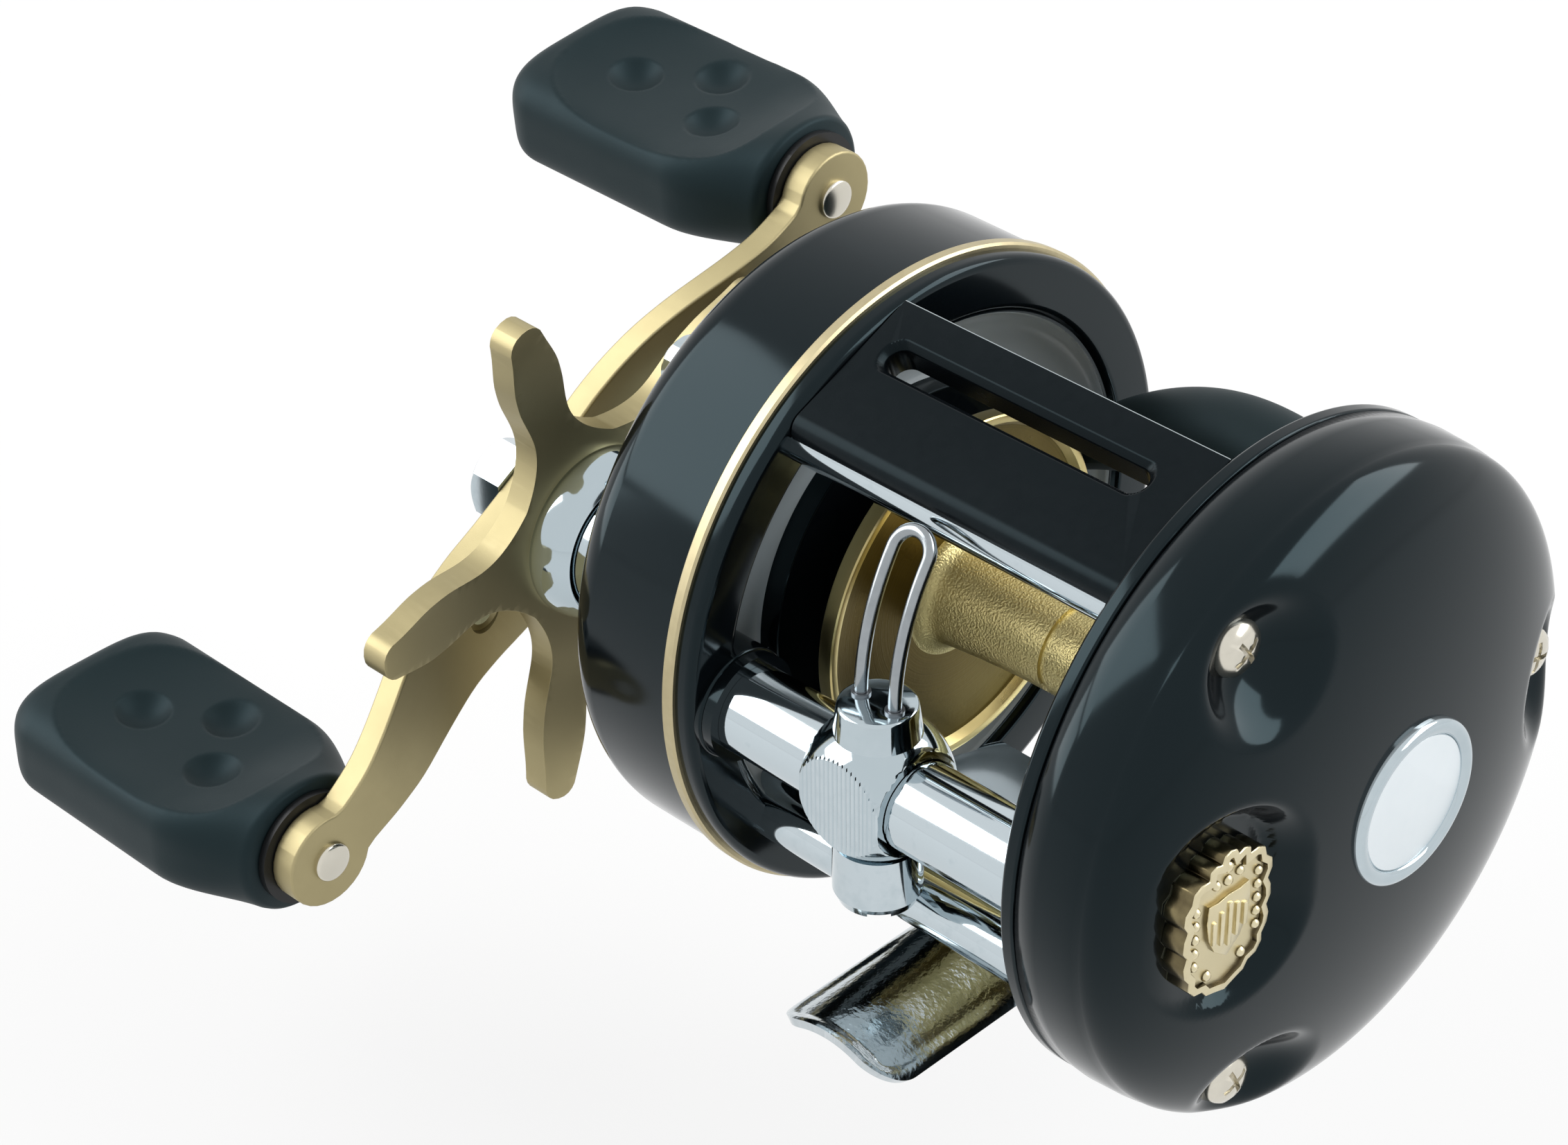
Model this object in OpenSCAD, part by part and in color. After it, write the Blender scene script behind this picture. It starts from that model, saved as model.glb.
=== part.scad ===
// Baitcasting reel with a round frame, a level wind and a double handle.
// +X points to the palm side, -Y to the line guide and +Z away from the rod.
// The origin is on the axis of the rod blank, below the middle of the foot.

/* [Rod seat] */
// Radius of the rod blank that the foot sits on
seat_r = 8; // [6.8:0.1:10]
// Height of the spool axis above the axis of the rod
axis_h = 33.1; // [32.6:0.1:38]
// Sideways offset of the spool middle from the middle of the foot
seat_shift = 0.5; // [0:0.1:2]
// Width of the foot
foot_w = 13.4; // [11:0.1:14]
// Thickness of the foot
foot_t = 1.2; // [0.9:0.1:1.6]
// Reach of the foot corners in front of the spool axis
foot_front = 24.7; // [20:0.1:30]
// How far the tongue bulges past the front corners
foot_tongue = 3.6; // [1:0.1:6]
// Reach of the foot behind the spool axis
foot_rear = 30; // [22:0.5:36]
// Length of the raised pad between the foot and its plate
pad_l = 17; // [12:0.5:22]
// Width of the raised pad
pad_w = 11; // [9:0.5:13]
// Depth of the foot plate from front to back
plate_d = 18; // [14:0.5:18.5]
// Thickness of the foot plate
plate_t = 1.5; // [1:0.1:1.8]
// Radius of a foot rivet
rivet_r = 1.3; // [1:0.1:1.8]
// Radius of a rivet head
rivet_head_r = 2.2; // [2:0.1:2.6]
// Spacing of the foot rivets from front to back
rivet_pitch = 11; // [7:0.5:12]

/* [Frame] */
// Distance from the spool middle to the gear-side ring
gear_gap = 15.3; // [15:0.1:18]
// Distance from the spool middle to the palm-side ring
palm_gap = 18.3; // [17.8:0.1:21]
// Outer radius of the gear-side ring
ring_r = 28.5; // [26:0.1:31]
// Thickness of the gear-side rim
rim_t = 2.3; // [1.7:0.1:2.5]
// Width of the gear-side rim
rim_w = 1.8; // [1.4:0.1:2.4]
// Depth from the rim down to the frame wall
wall_depth = 4.7; // [4.4:0.1:5.2]
// Thickness of the frame wall
wall_t = 1.2; // [1:0.1:1.4]
// Step from the rim's outside in to the boss round each spool flange
boss_step = 7.5; // [7.1:0.1:9]
// How far the gear-side boss stays below the rim
boss_sink = 0.7; // [0.5:0.1:1.2]
// Radius of the dish that faces the spool flange
dish_r = 16.6; // [16.4:0.1:17.5]
// Depth of that dish
dish_t = 1.2; // [0.6:0.1:1.4]
// How far the palm-side ring stands out past the gear-side one
bead_h = 0.5; // [0.3:0.1:0.6]
// Width of the palm-side ring
bead_w = 1.5; // [1.3:0.1:2]
// Height of the palm-side boss
palm_boss_h = 2.8; // [2:0.1:3]
// Radius of the opening in the palm-side wall
palm_open_r = 14; // [12.5:0.1:15]
// How far the trim ring stands out of the gear-side ring
trim_h = 0.5; // [0.3:0.1:0.9]
// Width of the trim ring
trim_w = 1.2; // [0.8:0.1:1.6]
// Radial seat of the trim ring in the frame ring
trim_seat = 0.3; // [0.2:0.05:0.6]

/* [Pillars] */
// Radius of the upper pillar
pillar_up_r = 2.2; // [1.8:0.1:2.4]
// Distance of the upper pillar in from the ring's outside
pillar_up_in = 3.17; // [2.9:0.01:4]
// Angle of the upper pillar above the horizon
pillar_up_a = 54.8; // [52:0.1:58]
// Radius of the two lower pillars
pillar_low_r = 2.6; // [2:0.1:2.7]
// Distance of the lower pillars in from the ring's outside
pillar_low_in = 5; // [4.6:0.1:5.1]
// Angle of the front lower pillar below the horizon
pillar_low_a = 39; // [38:0.1:42]
// Angle of the rear lower pillar below the horizon
pillar_rear_a = 18; // [10:0.5:30]

/* [Top plate] */
// Tilt of the plate
top_tilt = 22.2; // [18:0.1:26]
// Height of the rear edge over the frame ring
top_h = 0.1; // [-0.3:0.1:0.3]
// Distance of the rear edge in front of the spool axis
top_y = 3.5; // [3:0.1:5]
// Length of the plate down its slope
top_l = 14.8; // [14:0.1:15.2]
// Thickness of the plate
top_t = 1; // [0.8:0.1:1.1]
// Depth of the lip at the front edge
top_lip = 1.5; // [1.3:0.1:2]
// Length of the slot
slot_l = 27; // [18:0.5:29]
// Width of the slot
slot_w = 4.6; // [3:0.1:6]
// Distance from the rear edge to the middle of the slot
slot_at = 5.3; // [4.8:0.1:8]

/* [Gear-side cover] */
// How far the cover stands out of the gear-side ring
cover_h = 0.1; // [0:0.1:0.2]
// Wall of the cover
cover_wall = 1.3; // [1:0.05:1.35]
// Depth of the cover
cover_w = 12.1; // [12:0.1:14]
// Radius of the rounded shoulder
cover_round = 3.3; // [2:0.1:4]
// Radius of a thumb screw head
thumb_r = 2.57; // [2:0.01:3]
// Height of a thumb screw head
thumb_h = 3.6; // [2.5:0.1:5]
// Distance of the thumb screws in from the cover's outside
thumb_in = 7.5; // [6.6:0.1:8.6]
// Angle of the first thumb screw from the rear
thumb_a = 121; // [115:1:128]
// Radius of the screw shanks
shank_r = 1; // [0.8:0.05:1.1]

/* [Palm-side cover] */
// Depth of the straight skirt
skirt_w = 6.2; // [5:0.1:8]
// Height of the dome above the skirt
dome_h = 7.9; // [7.4:0.1:9]
// Wall of the cover
palm_wall = 1.4; // [1.1:0.1:1.6]
// Distance of the cover screws in from the palm-side ring's outside
cscrew_in = 4; // [3.9:0.1:4.6]
// Radius of a cover screw head
cscrew_r = 2; // [1.6:0.1:2.2]
// Height of a cover screw head
cscrew_h = 1.5; // [1:0.1:2]
// Radius of the scoop round each cover screw
scoop_r = 6; // [4.5:0.1:7]
// Radius of the medallion
medal_r = 7.2; // [6:0.1:8]
// Width of the medallion's bezel
bezel_w = 1.3; // [0.8:0.1:2]
// How far the medallion stands out of the dome
medal_h = 0.4; // [0.3:0.1:1.2]
// Place of the medallion behind the spool axis
medal_y = 1.7; // [0:0.1:2]
// Place of the medallion above the spool axis
medal_z = 1.3; // [0:0.1:3]
// Height of the oval recess, along Z
oval_l = 18.8; // [17:0.1:20]
// Width of the oval recess, along Y
oval_w = 15; // [14:0.1:15.6]
// Height of the recess floor above the dome's foot
oval_d = 4.2; // [3.8:0.1:4.6]
// Place of the oval recess in front of the spool axis
oval_y = 18.9; // [18.4:0.1:19.4]
// Place of the oval recess above the spool axis
oval_z = 0.8; // [0:0.1:2]
// Height of the plaque in the recess, along Z
plaque_l = 13.6; // [11:0.1:14.5]
// Width of the plaque, along Y
plaque_w = 10.2; // [8:0.1:11]
// Thickness of the plaque
plaque_t = 2.2; // [1.4:0.1:2.4]

/* [Drive] */
// Distance of the handle axis in front of the spool axis, as a share of the ring's radius
drive_at = 0.49825; // [0.4982:0.0005:0.505]
// Distance of the handle axis below the spool axis
drive_z = 0.5; // [0:0.1:1]
// Radius of the drive shaft
drive_r = 2.5; // [2.2:0.05:2.6]
// Outer radius of the housing tube
house_r = 6.3; // [6:0.05:6.4]
// Length of the housing tube outside the cover
house_l = 8.6; // [8:0.1:10]
// Wall of the housing tube
house_wall = 1.7; // [1.4:0.1:1.9]
// Teeth of the main gear
main_teeth = 47; // [40:1:50]
// Teeth of the pinion
pinion_teeth = 10; // [9:1:12]
// Width of the main gear
main_w = 2; // [1.5:0.1:2]
// Teeth of the level-wind cog on the drive shaft
cog_teeth = 28; // [26:1:28]
// Teeth of the gear on the worm
worm_teeth = 16; // [16:1:18]
// Width of the two level-wind gears
cog_w = 1.5; // [1:0.1:1.5]
// Play between the flanks of meshing teeth
backlash = 0.12; // [0.08:0.01:0.16]
// Radius of the drag washers
drag_r = 9; // [7:0.1:9.5]
// Thickness of a drag washer
drag_t = 0.5; // [0.3:0.05:0.5]

/* [Star drag] */
// Radius of the star's collar
collar_r = 7.9; // [7.7:0.05:8]
// Length of the star's collar
collar_l = 3.8; // [3.6:0.1:4]
// Thickness of the star
star_t = 2.6; // [2:0.1:2.7]
// Reach of the star's arms
star_r = 25.6; // [24:0.1:26.4]
// Radius of the star's hub
star_hub_r = 9.2; // [8.8:0.1:9.6]
// Width of an arm at its widest
star_arm_w = 5.2; // [4.8:0.1:5.8]
// Radius of an arm's tip
star_tip_r = 2.3; // [2:0.1:2.6]
// Number of arms
star_n = 5; // [4:1:6]
// How far the arms' tips bend towards the reel
star_bend = 1.6; // [1.4:0.1:2]

/* [Handle] */
// Distance from the handle axis to a knob pin
arm_half = 36.2; // [34:0.1:42]
// Angle of the handle below the horizon
arm_a = 31.9; // [0:0.1:90]
// Thickness of the arm
arm_t = 2.5; // [2:0.1:3]
// How far the arm's ends sweep back towards the reel
arm_sweep = 5; // [2:0.1:5.1]
// Half width of the arm on its straight edge
arm_edge = 3.1; // [2.8:0.1:3.3]
// Width of the swell at the hub
arm_swell = 5.8; // [4:0.1:6.2]
// Radius of a pad
arm_pad_r = 4.35; // [4:0.05:5]
// Length of the spacer between the star and the arm
spacer_l = 3.1; // [2.8:0.1:5]
// Radius of the nut
nut_r = 3.95; // [3.5:0.05:4.5]
// Height of the nut
nut_h = 3.9; // [3:0.1:5]
// Radius of the nut's lock screw
lock_r = 1.2; // [0.8:0.1:1.4]

/* [Knobs] */
// Length of a knob
knob_l = 30.2; // [28:0.1:32]
// Width of a knob
knob_w = 19; // [17:0.1:20]
// Thickness of a knob
knob_t = 10; // [9:0.1:12]
// Radius of a knob pin
pin_r = 1.4; // [1.1:0.05:1.6]
// Radius of a knob pin's head
pin_head_r = 1.85; // [1.7:0.05:2.4]
// Radius of the collar behind a knob
kcollar_r = 5.2; // [4.6:0.1:5.6]
// Thickness of that collar
kcollar_t = 0.7; // [0.5:0.1:1.2]
// Radius of a knob where it meets its collar
knob_neck = 6.2; // [5.6:0.1:6.6]
// Radius of a knob's long edges
knob_edge = 3.2; // [2:0.1:4]
// Depth of the dish in a knob
knob_dish = 1.1; // [0.5:0.1:1.5]
// Turn of the upper knob about its pin
knob_turn = 5; // [0:1:20]

/* [Spool] */
// Radius of a spool flange
spool_r = 15.8; // [14:0.1:15.9]
// Place of the gear-side flange's outer face
spool_left = 13.3; // [13:0.1:13.9]
// Place of the palm-side flange's outer face
spool_right = 14; // [13:0.1:14.3]
// Thickness of a flange
flange_t = 0.9; // [0.7:0.1:1.2]
// Radius of the arbor at its middle
arbor_r = 4; // [3.6:0.1:6]
// How much the arbor swells towards the flanges
arbor_flare = 0.9; // [0.4:0.1:1.5]
// Radius of the spool shaft
shaft_r = 1.2; // [1:0.05:1.25]
// Outer radius of a spool bearing
bearing_r = 4; // [3.5:0.1:4.3]
// Width of a spool bearing
bearing_w = 2.4; // [2:0.1:2.6]
// Gap between the tension cap and the housing tube
cap_gap = 0.3; // [0.2:0.1:1]
// Length of the tension cap
cap_l = 7; // [6.2:0.1:7.4]

/* [Level wind] */
// Distance of the worm axis in front of the spool axis, as a share of the ring's radius
wind_at = 0.81404; // [0.814:0.001:0.818]
// Distance of the worm axis below the spool axis
wind_z = 0.6; // [0.4:0.1:0.8]
// Outer radius of the level-wind tube
tube_r = 3.85; // [3.6:0.05:3.9]
// Wall of the level-wind tube
tube_wall = 0.95; // [0.8:0.05:1.1]
// Radius of the worm
worm_r = 2.3; // [2:0.05:2.4]
// Pitch of the worm's crossed grooves
worm_pitch = 4.4; // [3:0.1:6]
// Radius of the worm's journals
journal_r = 1.5; // [1.3:0.05:1.6]
// Radius of the ball of the carriage
ball_r = 6.3; // [6:0.1:6.8]
// Length of the carriage along the tube
ball_l = 8.4; // [7:0.1:9]
// Distance from the worm axis to the grooved face
face_d = 4.6; // [4.5:0.1:5]
// Number of grooves on that face
face_n = 16; // [8:1:20]
// Travel of the carriage to each side
travel = 9.3; // [7:0.1:9.3]
// Radius of the pawl cap
pcap_r = 3.7; // [3.2:0.1:4]
// Height of the pawl cap's end over the front pillar's top
pcap_up = 0; // [0:0.1:1]
// Radius of the pawl
pawl_r = 1; // [0.8:0.05:1.2]
// Diameter of the guide wire
wire_d = 1.15; // [0.9:0.05:1.3]
// Width between the centres of the guide wire's legs
wire_w = 3.6; // [3:0.1:4.2]
// Radius of the bend that leans the wire back
wire_bend = 22.8; // [20:0.1:30]
// Angle that the legs lean back at their top
wire_lean = 33; // [20:1:33]

/* [Thumb bar and clutch] */
// Height of the thumb bar's crown above the spool axis
bar_z = 15.2; // [14.8:0.1:15.6]
// Distance of the thumb bar's middle behind the spool axis
bar_y = 20; // [19.8:0.1:20.4]
// Half depth of the thumb bar
bar_d = 4.6; // [4:0.1:5]
// Travel of the thumb bar
press = 3; // [2:0.1:3]
// Travel of the pinion
throw = 1.2; // [0.8:0.1:1.2]

/* [Fits] */
// Radial play of a turning shaft
run = 0.05; // [0.03:0.01:0.08]
// Play between pieces that are fastened together
seat = 0.02; // [0.01:0.01:0.05]
// Play between faces that turn or slide past each other
side = 0.1; // [0.05:0.01:0.15]

/* [Hidden] */
$fn = 64;
// Places along X, from the spool middle
gx_ring = -gear_gap;
gx_trim = gx_ring - rim_w;
gx_cover = gx_trim - trim_w;
gx_wall = gx_ring - wall_depth;
gx_back = gx_wall - wall_t;
gx_boss = gx_ring - boss_sink;
gx_dish = gx_boss - dish_t;
gx_out = gx_cover - cover_w;
gx_in = gx_out + cover_wall;
gx_cog = gx_back - 0.5;
gx_flange = gx_cog - cog_w - 0.8;
gx_main = gx_flange - 0.9;
gx_drag = gx_main - main_w - 0.05;
gx_house = gx_out - house_l;
gx_star = gx_house - 2.5;
gx_arm = gx_star - star_t - 0.3 - spacer_l;
gx_nut = gx_arm - arm_t;
gx_pad = gx_arm + arm_sweep;
gx_knob = gx_pad - arm_t - kcollar_t - 0.15;
px_ring = palm_gap;
px_cover = px_ring + bead_w;
px_dome = px_cover + skirt_w;
px_top = px_dome + dome_h;
px_oval = px_dome + oval_d;
px_boss = px_ring - palm_boss_h;
px_seat = px_dome + 1.05;
px_plate = px_cover + 0.4;
px_hub = px_plate + 4.8;
// Radii and places across X
rim_in_r = ring_r - rim_t;
boss_r = ring_r - boss_step;
bead_r = ring_r + bead_h;
trim_r = ring_r + trim_h;
cover_r = ring_r + cover_h;
top_z = ring_r + top_h;
thumb_c = cover_r - thumb_in;
cscrew_c = bead_r - cscrew_in;
pillar_low_c = ring_r - pillar_low_in;
drive_y = drive_at * ring_r;
wind_y = wind_at * ring_r;
cover_in_r = cover_r - cover_wall;
trim_in_r = ring_r - trim_seat;
cover_edge = [for (a = [0:15:90]) [cover_r - cover_round * (1 - cos(a)),
    gx_out + cover_round * (1 - sin(a))]];
cover_edge_in = [for (a = [90:-15:0]) [cover_in_r - cover_round * (1 - cos(a)),
    gx_in + cover_round * (1 - sin(a))]];
drive_c = norm([drive_y, drive_z]);
drive_dir = atan2(drive_z, drive_y);
wind_gap = [drive_y - wind_y, wind_z - drive_z];
wind_c = norm(wind_gap);
wind_dir = atan2(-wind_gap[1], wind_gap[0]);
main_m = 2 * drive_c / (main_teeth + pinion_teeth);
cog_m = 2 * wind_c / (cog_teeth + worm_teeth);
pin_root_r = main_m * (pinion_teeth / 2 - 1.15);
pin_out_r = main_m * (pinion_teeth / 2 + 0.65);
main_out_r = main_m * (main_teeth / 2 + 0.65);
px_in0 = gx_cog - 0.6;
px_in1 = px_in0 - 0.8;
px_in2 = px_in1 - 1.2;
px_in3 = px_in2 - 3;
cscrew_a = [123, 0.4, -118.3];
up = (ring_r - pillar_up_in) * [-cos(pillar_up_a), sin(pillar_up_a)];
low = [-pillar_low_c * cos(pillar_low_a), -pillar_low_c * sin(pillar_low_a)];
rear = [pillar_low_c * cos(pillar_rear_a), -pillar_low_c * sin(pillar_rear_a)];
cap_r = drive_c - house_r - cap_gap;
hub_r = bearing_r + 1.6;
pcap_l = -low[1] - pillar_low_r - pcap_up - wind_z - ball_r + 0.8 + seat;
foot_top = seat_r + foot_t - axis_h;
pad_top = foot_top;
carry_x = 0.3;
lug_r = 4.9;
lug_end = gx_ring + 0.6;
tube_end = gx_ring + 1.6;
tube_in_r = tube_r - tube_wall;
pin_len = 24.5;
knob_end = gx_knob - knob_l;
post_y = 6;
post_z = 6;
post_r = 0.8;

// Smooth step from 0 to 1 as v goes from a to b
function blend(v, a, b) = let (t = max(0, min(1, (v - a) / (b - a)))) t * t * (3 - 2 * t);
function inv(a) = tan(a) * 180 / PI - a;
// Half angle of a tooth at radius r, for an involute flank
function half_tooth(z, m, r) = let (rp = m * z / 2, rb = rp * cos(20))
    90 / z - (backlash / 2) / rp * 90 / PI + inv(20) - (r > rb ? inv(acos(rb / r)) : 0);
function tooth(z, m, c) = let (rp = m * z / 2,
    rr = [rp - 1.15 * m, max(rp * cos(20) + 0.01, rp - 0.8 * m), rp, rp + 0.65 * m])
    concat([for (r = rr) r * [cos(c - half_tooth(z, m, r)), sin(c - half_tooth(z, m, r))]],
        [for (i = [3:-1:0]) rr[i] * [cos(c + half_tooth(z, m, rr[i])),
            sin(c + half_tooth(z, m, rr[i]))]]);
function gear_points(z, m, c) = [for (i = [0:z - 1]) each tooth(z, m, c + i * 360 / z)];

// Everything is built round the spool axis and then set over the rod seat
module place() translate([seat_shift, 0, axis_h]) children();
module rod_x(x0, x1, r, p = [0, 0]) translate([min(x0, x1), p[0], p[1]])
    rotate([0, 90, 0]) cylinder(r = r, h = abs(x1 - x0));
module tube_x(x0, x1, ro, ri, p = [0, 0]) difference() {
    rod_x(x0, x1, ro, p);
    rod_x(min(x0, x1) - 1, max(x0, x1) + 1, ri, p);
}
module flat_x(x0, x1) translate([min(x0, x1), 0, 0]) rotate([90, 0, 90])
    linear_extrude(abs(x1 - x0)) children();
module turn_x(points, p = [0, 0]) translate([0, p[0], p[1]]) rotate([0, 90, 0])
    rotate_extrude() polygon(points);
module at_drive() translate([0, -drive_y, -drive_z]) children();
module at_wind() translate([0, -wind_y, -wind_z]) children();
module pillar_bores(gap) {
    rod_x(gx_wall, px_ring, pillar_up_r + gap, up);
    rod_x(gx_wall, px_ring, pillar_low_r + gap, low);
    rod_x(gx_wall, px_ring, pillar_low_r + gap, rear);
}

module gear_ring() color([0.03, 0.03, 0.04]) place() difference() {
    union() {
        turn_x([[ring_r, gx_ring], [ring_r, gx_trim], [trim_in_r, gx_trim],
            [trim_in_r, gx_cover], [cover_in_r - seat, gx_cover],
            [cover_in_r - seat, gx_back], [0, gx_back], [0, gx_dish], [dish_r, gx_dish],
            [dish_r, gx_boss], [boss_r, gx_boss], [boss_r, gx_wall], [rim_in_r, gx_wall],
            [rim_in_r, gx_ring - 0.6], [rim_in_r + 0.6, gx_ring]]);
        at_wind() rod_x(gx_wall, lug_end, lug_r);
    }
    pillar_bores(seat);
    rod_x(gx_back - 1, gx_ring, pin_out_r + 0.4);
    at_drive() rod_x(gx_back - 1, gx_dish - 0.5, drive_r + run);
    at_wind() rod_x(gx_back - 1, lug_end + 1, journal_r + run);
    at_wind() rod_x(lug_end - 1, lug_end + 1, tube_r + seat);
    for (s = [-1, 1]) rod_x(gx_back - 1, gx_back + 1, post_r + seat, [post_y, s * post_z]);
}

module palm_ring() color([0.03, 0.03, 0.04]) place() difference() {
    turn_x([[bead_r - 0.4, px_ring], [bead_r, px_ring + 0.4], [bead_r, px_cover - 0.2],
        [bead_r - 0.2, px_cover], [palm_open_r, px_cover], [palm_open_r, px_boss],
        [boss_r, px_boss], [boss_r, px_ring]]);
    pillar_bores(seat);
    at_wind() rod_x(px_boss - 1, px_ring, tube_r + seat);
    at_wind() rod_x(px_ring - 1, px_cover + 1, journal_r + run);
    for (a = cscrew_a) rod_x(px_ring - 1, px_cover + 1, shank_r + seat,
        cscrew_c * [cos(a), sin(a)]);
}

module trim_ring() color([0.84, 0.76, 0.58]) place()
    turn_x([[trim_in_r + seat, gx_trim], [trim_r - 0.2, gx_trim], [trim_r, gx_trim - 0.2],
        [trim_r, gx_cover + 0.2], [trim_r - 0.2, gx_cover], [trim_in_r + seat, gx_cover]]);

module pillar_upper() color([0.8, 0.81, 0.83]) place() rod_x(gx_wall, px_ring, pillar_up_r, up);
module pillar_front() color([0.8, 0.81, 0.83]) place() rod_x(gx_wall, px_ring, pillar_low_r, low);
module pillar_rear() color([0.8, 0.81, 0.83]) place() rod_x(gx_wall, px_ring, pillar_low_r, rear);

// Plate with a rolled front lip; the profile is drawn in the slope's own frame
module top_plate() color([0.05, 0.05, 0.06]) place() difference() {
    translate([0, -top_y, top_z]) rotate([top_tilt, 0, 0]) {
        translate([gx_ring, -top_l + top_lip, -top_t])
            cube([px_ring - gx_ring, top_l - top_lip, top_t]);
        translate([0, -top_l + top_lip, -top_lip]) difference() {
            rod_x(gx_ring, px_ring, top_lip);
            rod_x(gx_ring - 1, px_ring + 1, top_lip - top_t);
            translate([gx_ring - 1, 0, -top_lip - 1])
                cube([px_ring - gx_ring + 2, top_lip + 1, 2 * top_lip + 2]);
            translate([gx_ring - 1, -top_lip - 1, -top_lip - 1])
                cube([px_ring - gx_ring + 2, top_lip + 1.5, top_lip + 1]);
        }
    }
    translate([carry_x + 0.1, -top_y, top_z]) rotate([top_tilt, 0, 0])
        translate([0, -slot_at, -top_t - 1]) {
            for (s = [-1, 1]) translate([s * (slot_l - slot_w) / 2, 0, 0])
                cylinder(d = slot_w, h = top_t + 2);
            translate([-(slot_l - slot_w) / 2, -slot_w / 2, 0])
                cube([slot_l - slot_w, slot_w, top_t + 2]);
        }
    rod_x(gx_wall, px_ring + 1, pillar_up_r + seat, up);
}

module rivet_spots() for (y = [-1, 1]) translate([-seat_shift, y * rivet_pitch / 2, 0]) children();

module foot_plate() color([0.78, 0.79, 0.81]) place() difference() {
    translate([gx_wall, -plate_d / 2, pad_top]) cube([px_ring - gx_wall, plate_d, plate_t]);
    rivet_spots() translate([0, 0, pad_top - 1]) cylinder(r = rivet_r + seat, h = plate_t + 2);
}

// Trough that lies on the rod, with a flat pad over its middle
module reel_foot() color([0.78, 0.79, 0.81]) difference() {
    union() {
        intersection() {
            translate([0, -foot_front - foot_tongue, 0]) rotate([-90, 0, 0])
                cylinder(r = seat_r + foot_t, h = foot_front + foot_tongue + foot_rear);
            linear_extrude(seat_r + foot_t + 1) polygon(concat(
                [for (i = [-8:8]) [i / 16 * foot_w,
                    -foot_front - foot_tongue * (1 + cos(i * 22.5)) / 2]],
                [for (i = [8:-1:-8]) [i / 16 * foot_w,
                    foot_rear - 2.5 + 2.5 * (1 + cos(i * 22.5)) / 2]]));
        }
        translate([-pad_w / 2, -pad_l / 2, seat_r - 1]) cube([pad_w, pad_l, foot_t + 1]);
    }
    translate([0, -foot_front - foot_tongue - 1, 0]) rotate([-90, 0, 0])
        cylinder(r = seat_r, h = foot_front + foot_tongue + foot_rear + 2);
    for (y = [-1, 1]) translate([0, y * rivet_pitch / 2, seat_r + foot_t - 0.9])
        cylinder(r = rivet_r + seat, h = 2);
}

module foot_rivets() color([0.7, 0.7, 0.72]) place() rivet_spots() {
    translate([0, 0, foot_top - 0.85]) cylinder(r = rivet_r, h = 0.85 + plate_t);
    translate([0, 0, pad_top + plate_t]) intersection() {
        cylinder(r = rivet_head_r, h = 1);
        translate([0, 0, 0.9 - 4]) sphere(r = 4);
    }
}

module gear_cover() color([0.03, 0.03, 0.04]) place() difference() {
    union() {
        turn_x(concat([[cover_r, gx_cover], [cover_r, gx_out + cover_round]],
            [for (a = [15:15:75]) [cover_r - cover_round * (1 - cos(a)),
                gx_out + cover_round * (1 - sin(a))]],
            [[cover_r - cover_round, gx_out], [0, gx_out], [0, gx_in],
                [cover_in_r - cover_round, gx_in]],
            [for (a = [75:-15:15]) [cover_in_r - cover_round * (1 - cos(a)),
                gx_in + cover_round * (1 - sin(a))]],
            [[cover_in_r, gx_in + cover_round], [cover_in_r, gx_cover]]));
        rod_x(gx_out - 4, gx_in, hub_r);
        rod_x(gx_in, gx_in + 0.3, bearing_r + 0.8);
    }
    at_drive() rod_x(gx_out - 1, gx_in + 1, house_r + seat);
    rod_x(gx_out - 5, gx_in + 1, shaft_r + 0.4);
    rod_x(gx_out - 5, gx_out - 4 + bearing_w + 0.6, bearing_r + seat);
    for (a = [thumb_a, thumb_a + 180]) rod_x(gx_out - 1, gx_in + 1, shank_r + seat,
        thumb_c * [cos(a), sin(a)]);
}

module thumb_screws() color([0.85, 0.85, 0.86]) place()
    for (a = [thumb_a, thumb_a + 180]) translate([0, thumb_c * cos(a), thumb_c * sin(a)]) {
        turn_x([[0, gx_out], [thumb_r - 0.3, gx_out], [thumb_r, gx_out - 0.3],
            [thumb_r, gx_out - thumb_h + 0.5], [thumb_r - 0.5, gx_out - thumb_h],
            [0, gx_out - thumb_h]]);
        rod_x(gx_out, gx_in + 0.3, shank_r);
    }

module drive_housing() color([0.82, 0.83, 0.85]) place() at_drive()
    tube_x(gx_house, gx_in, house_r, house_r - house_wall);

module reverse_bearing() color([0.55, 0.56, 0.58]) place() at_drive()
    tube_x(gx_house + 1, gx_out - 0.6, house_r - house_wall - seat, drive_r + 0.85);

module clutch_posts() color([0.6, 0.6, 0.62]) place()
    for (s = [-1, 1]) rod_x(gx_back + 0.9, px_in3 - 0.2, post_r, [post_y, s * post_z]);

// Profile of the dome; x is measured from the end of the skirt
function dome(r, h, o) = [for (a = [0:9:90]) [r * (a > 85 ? 0 : pow(cos(a), 0.9)),
    o + h * pow(sin(a), 1.02)]];

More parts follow.
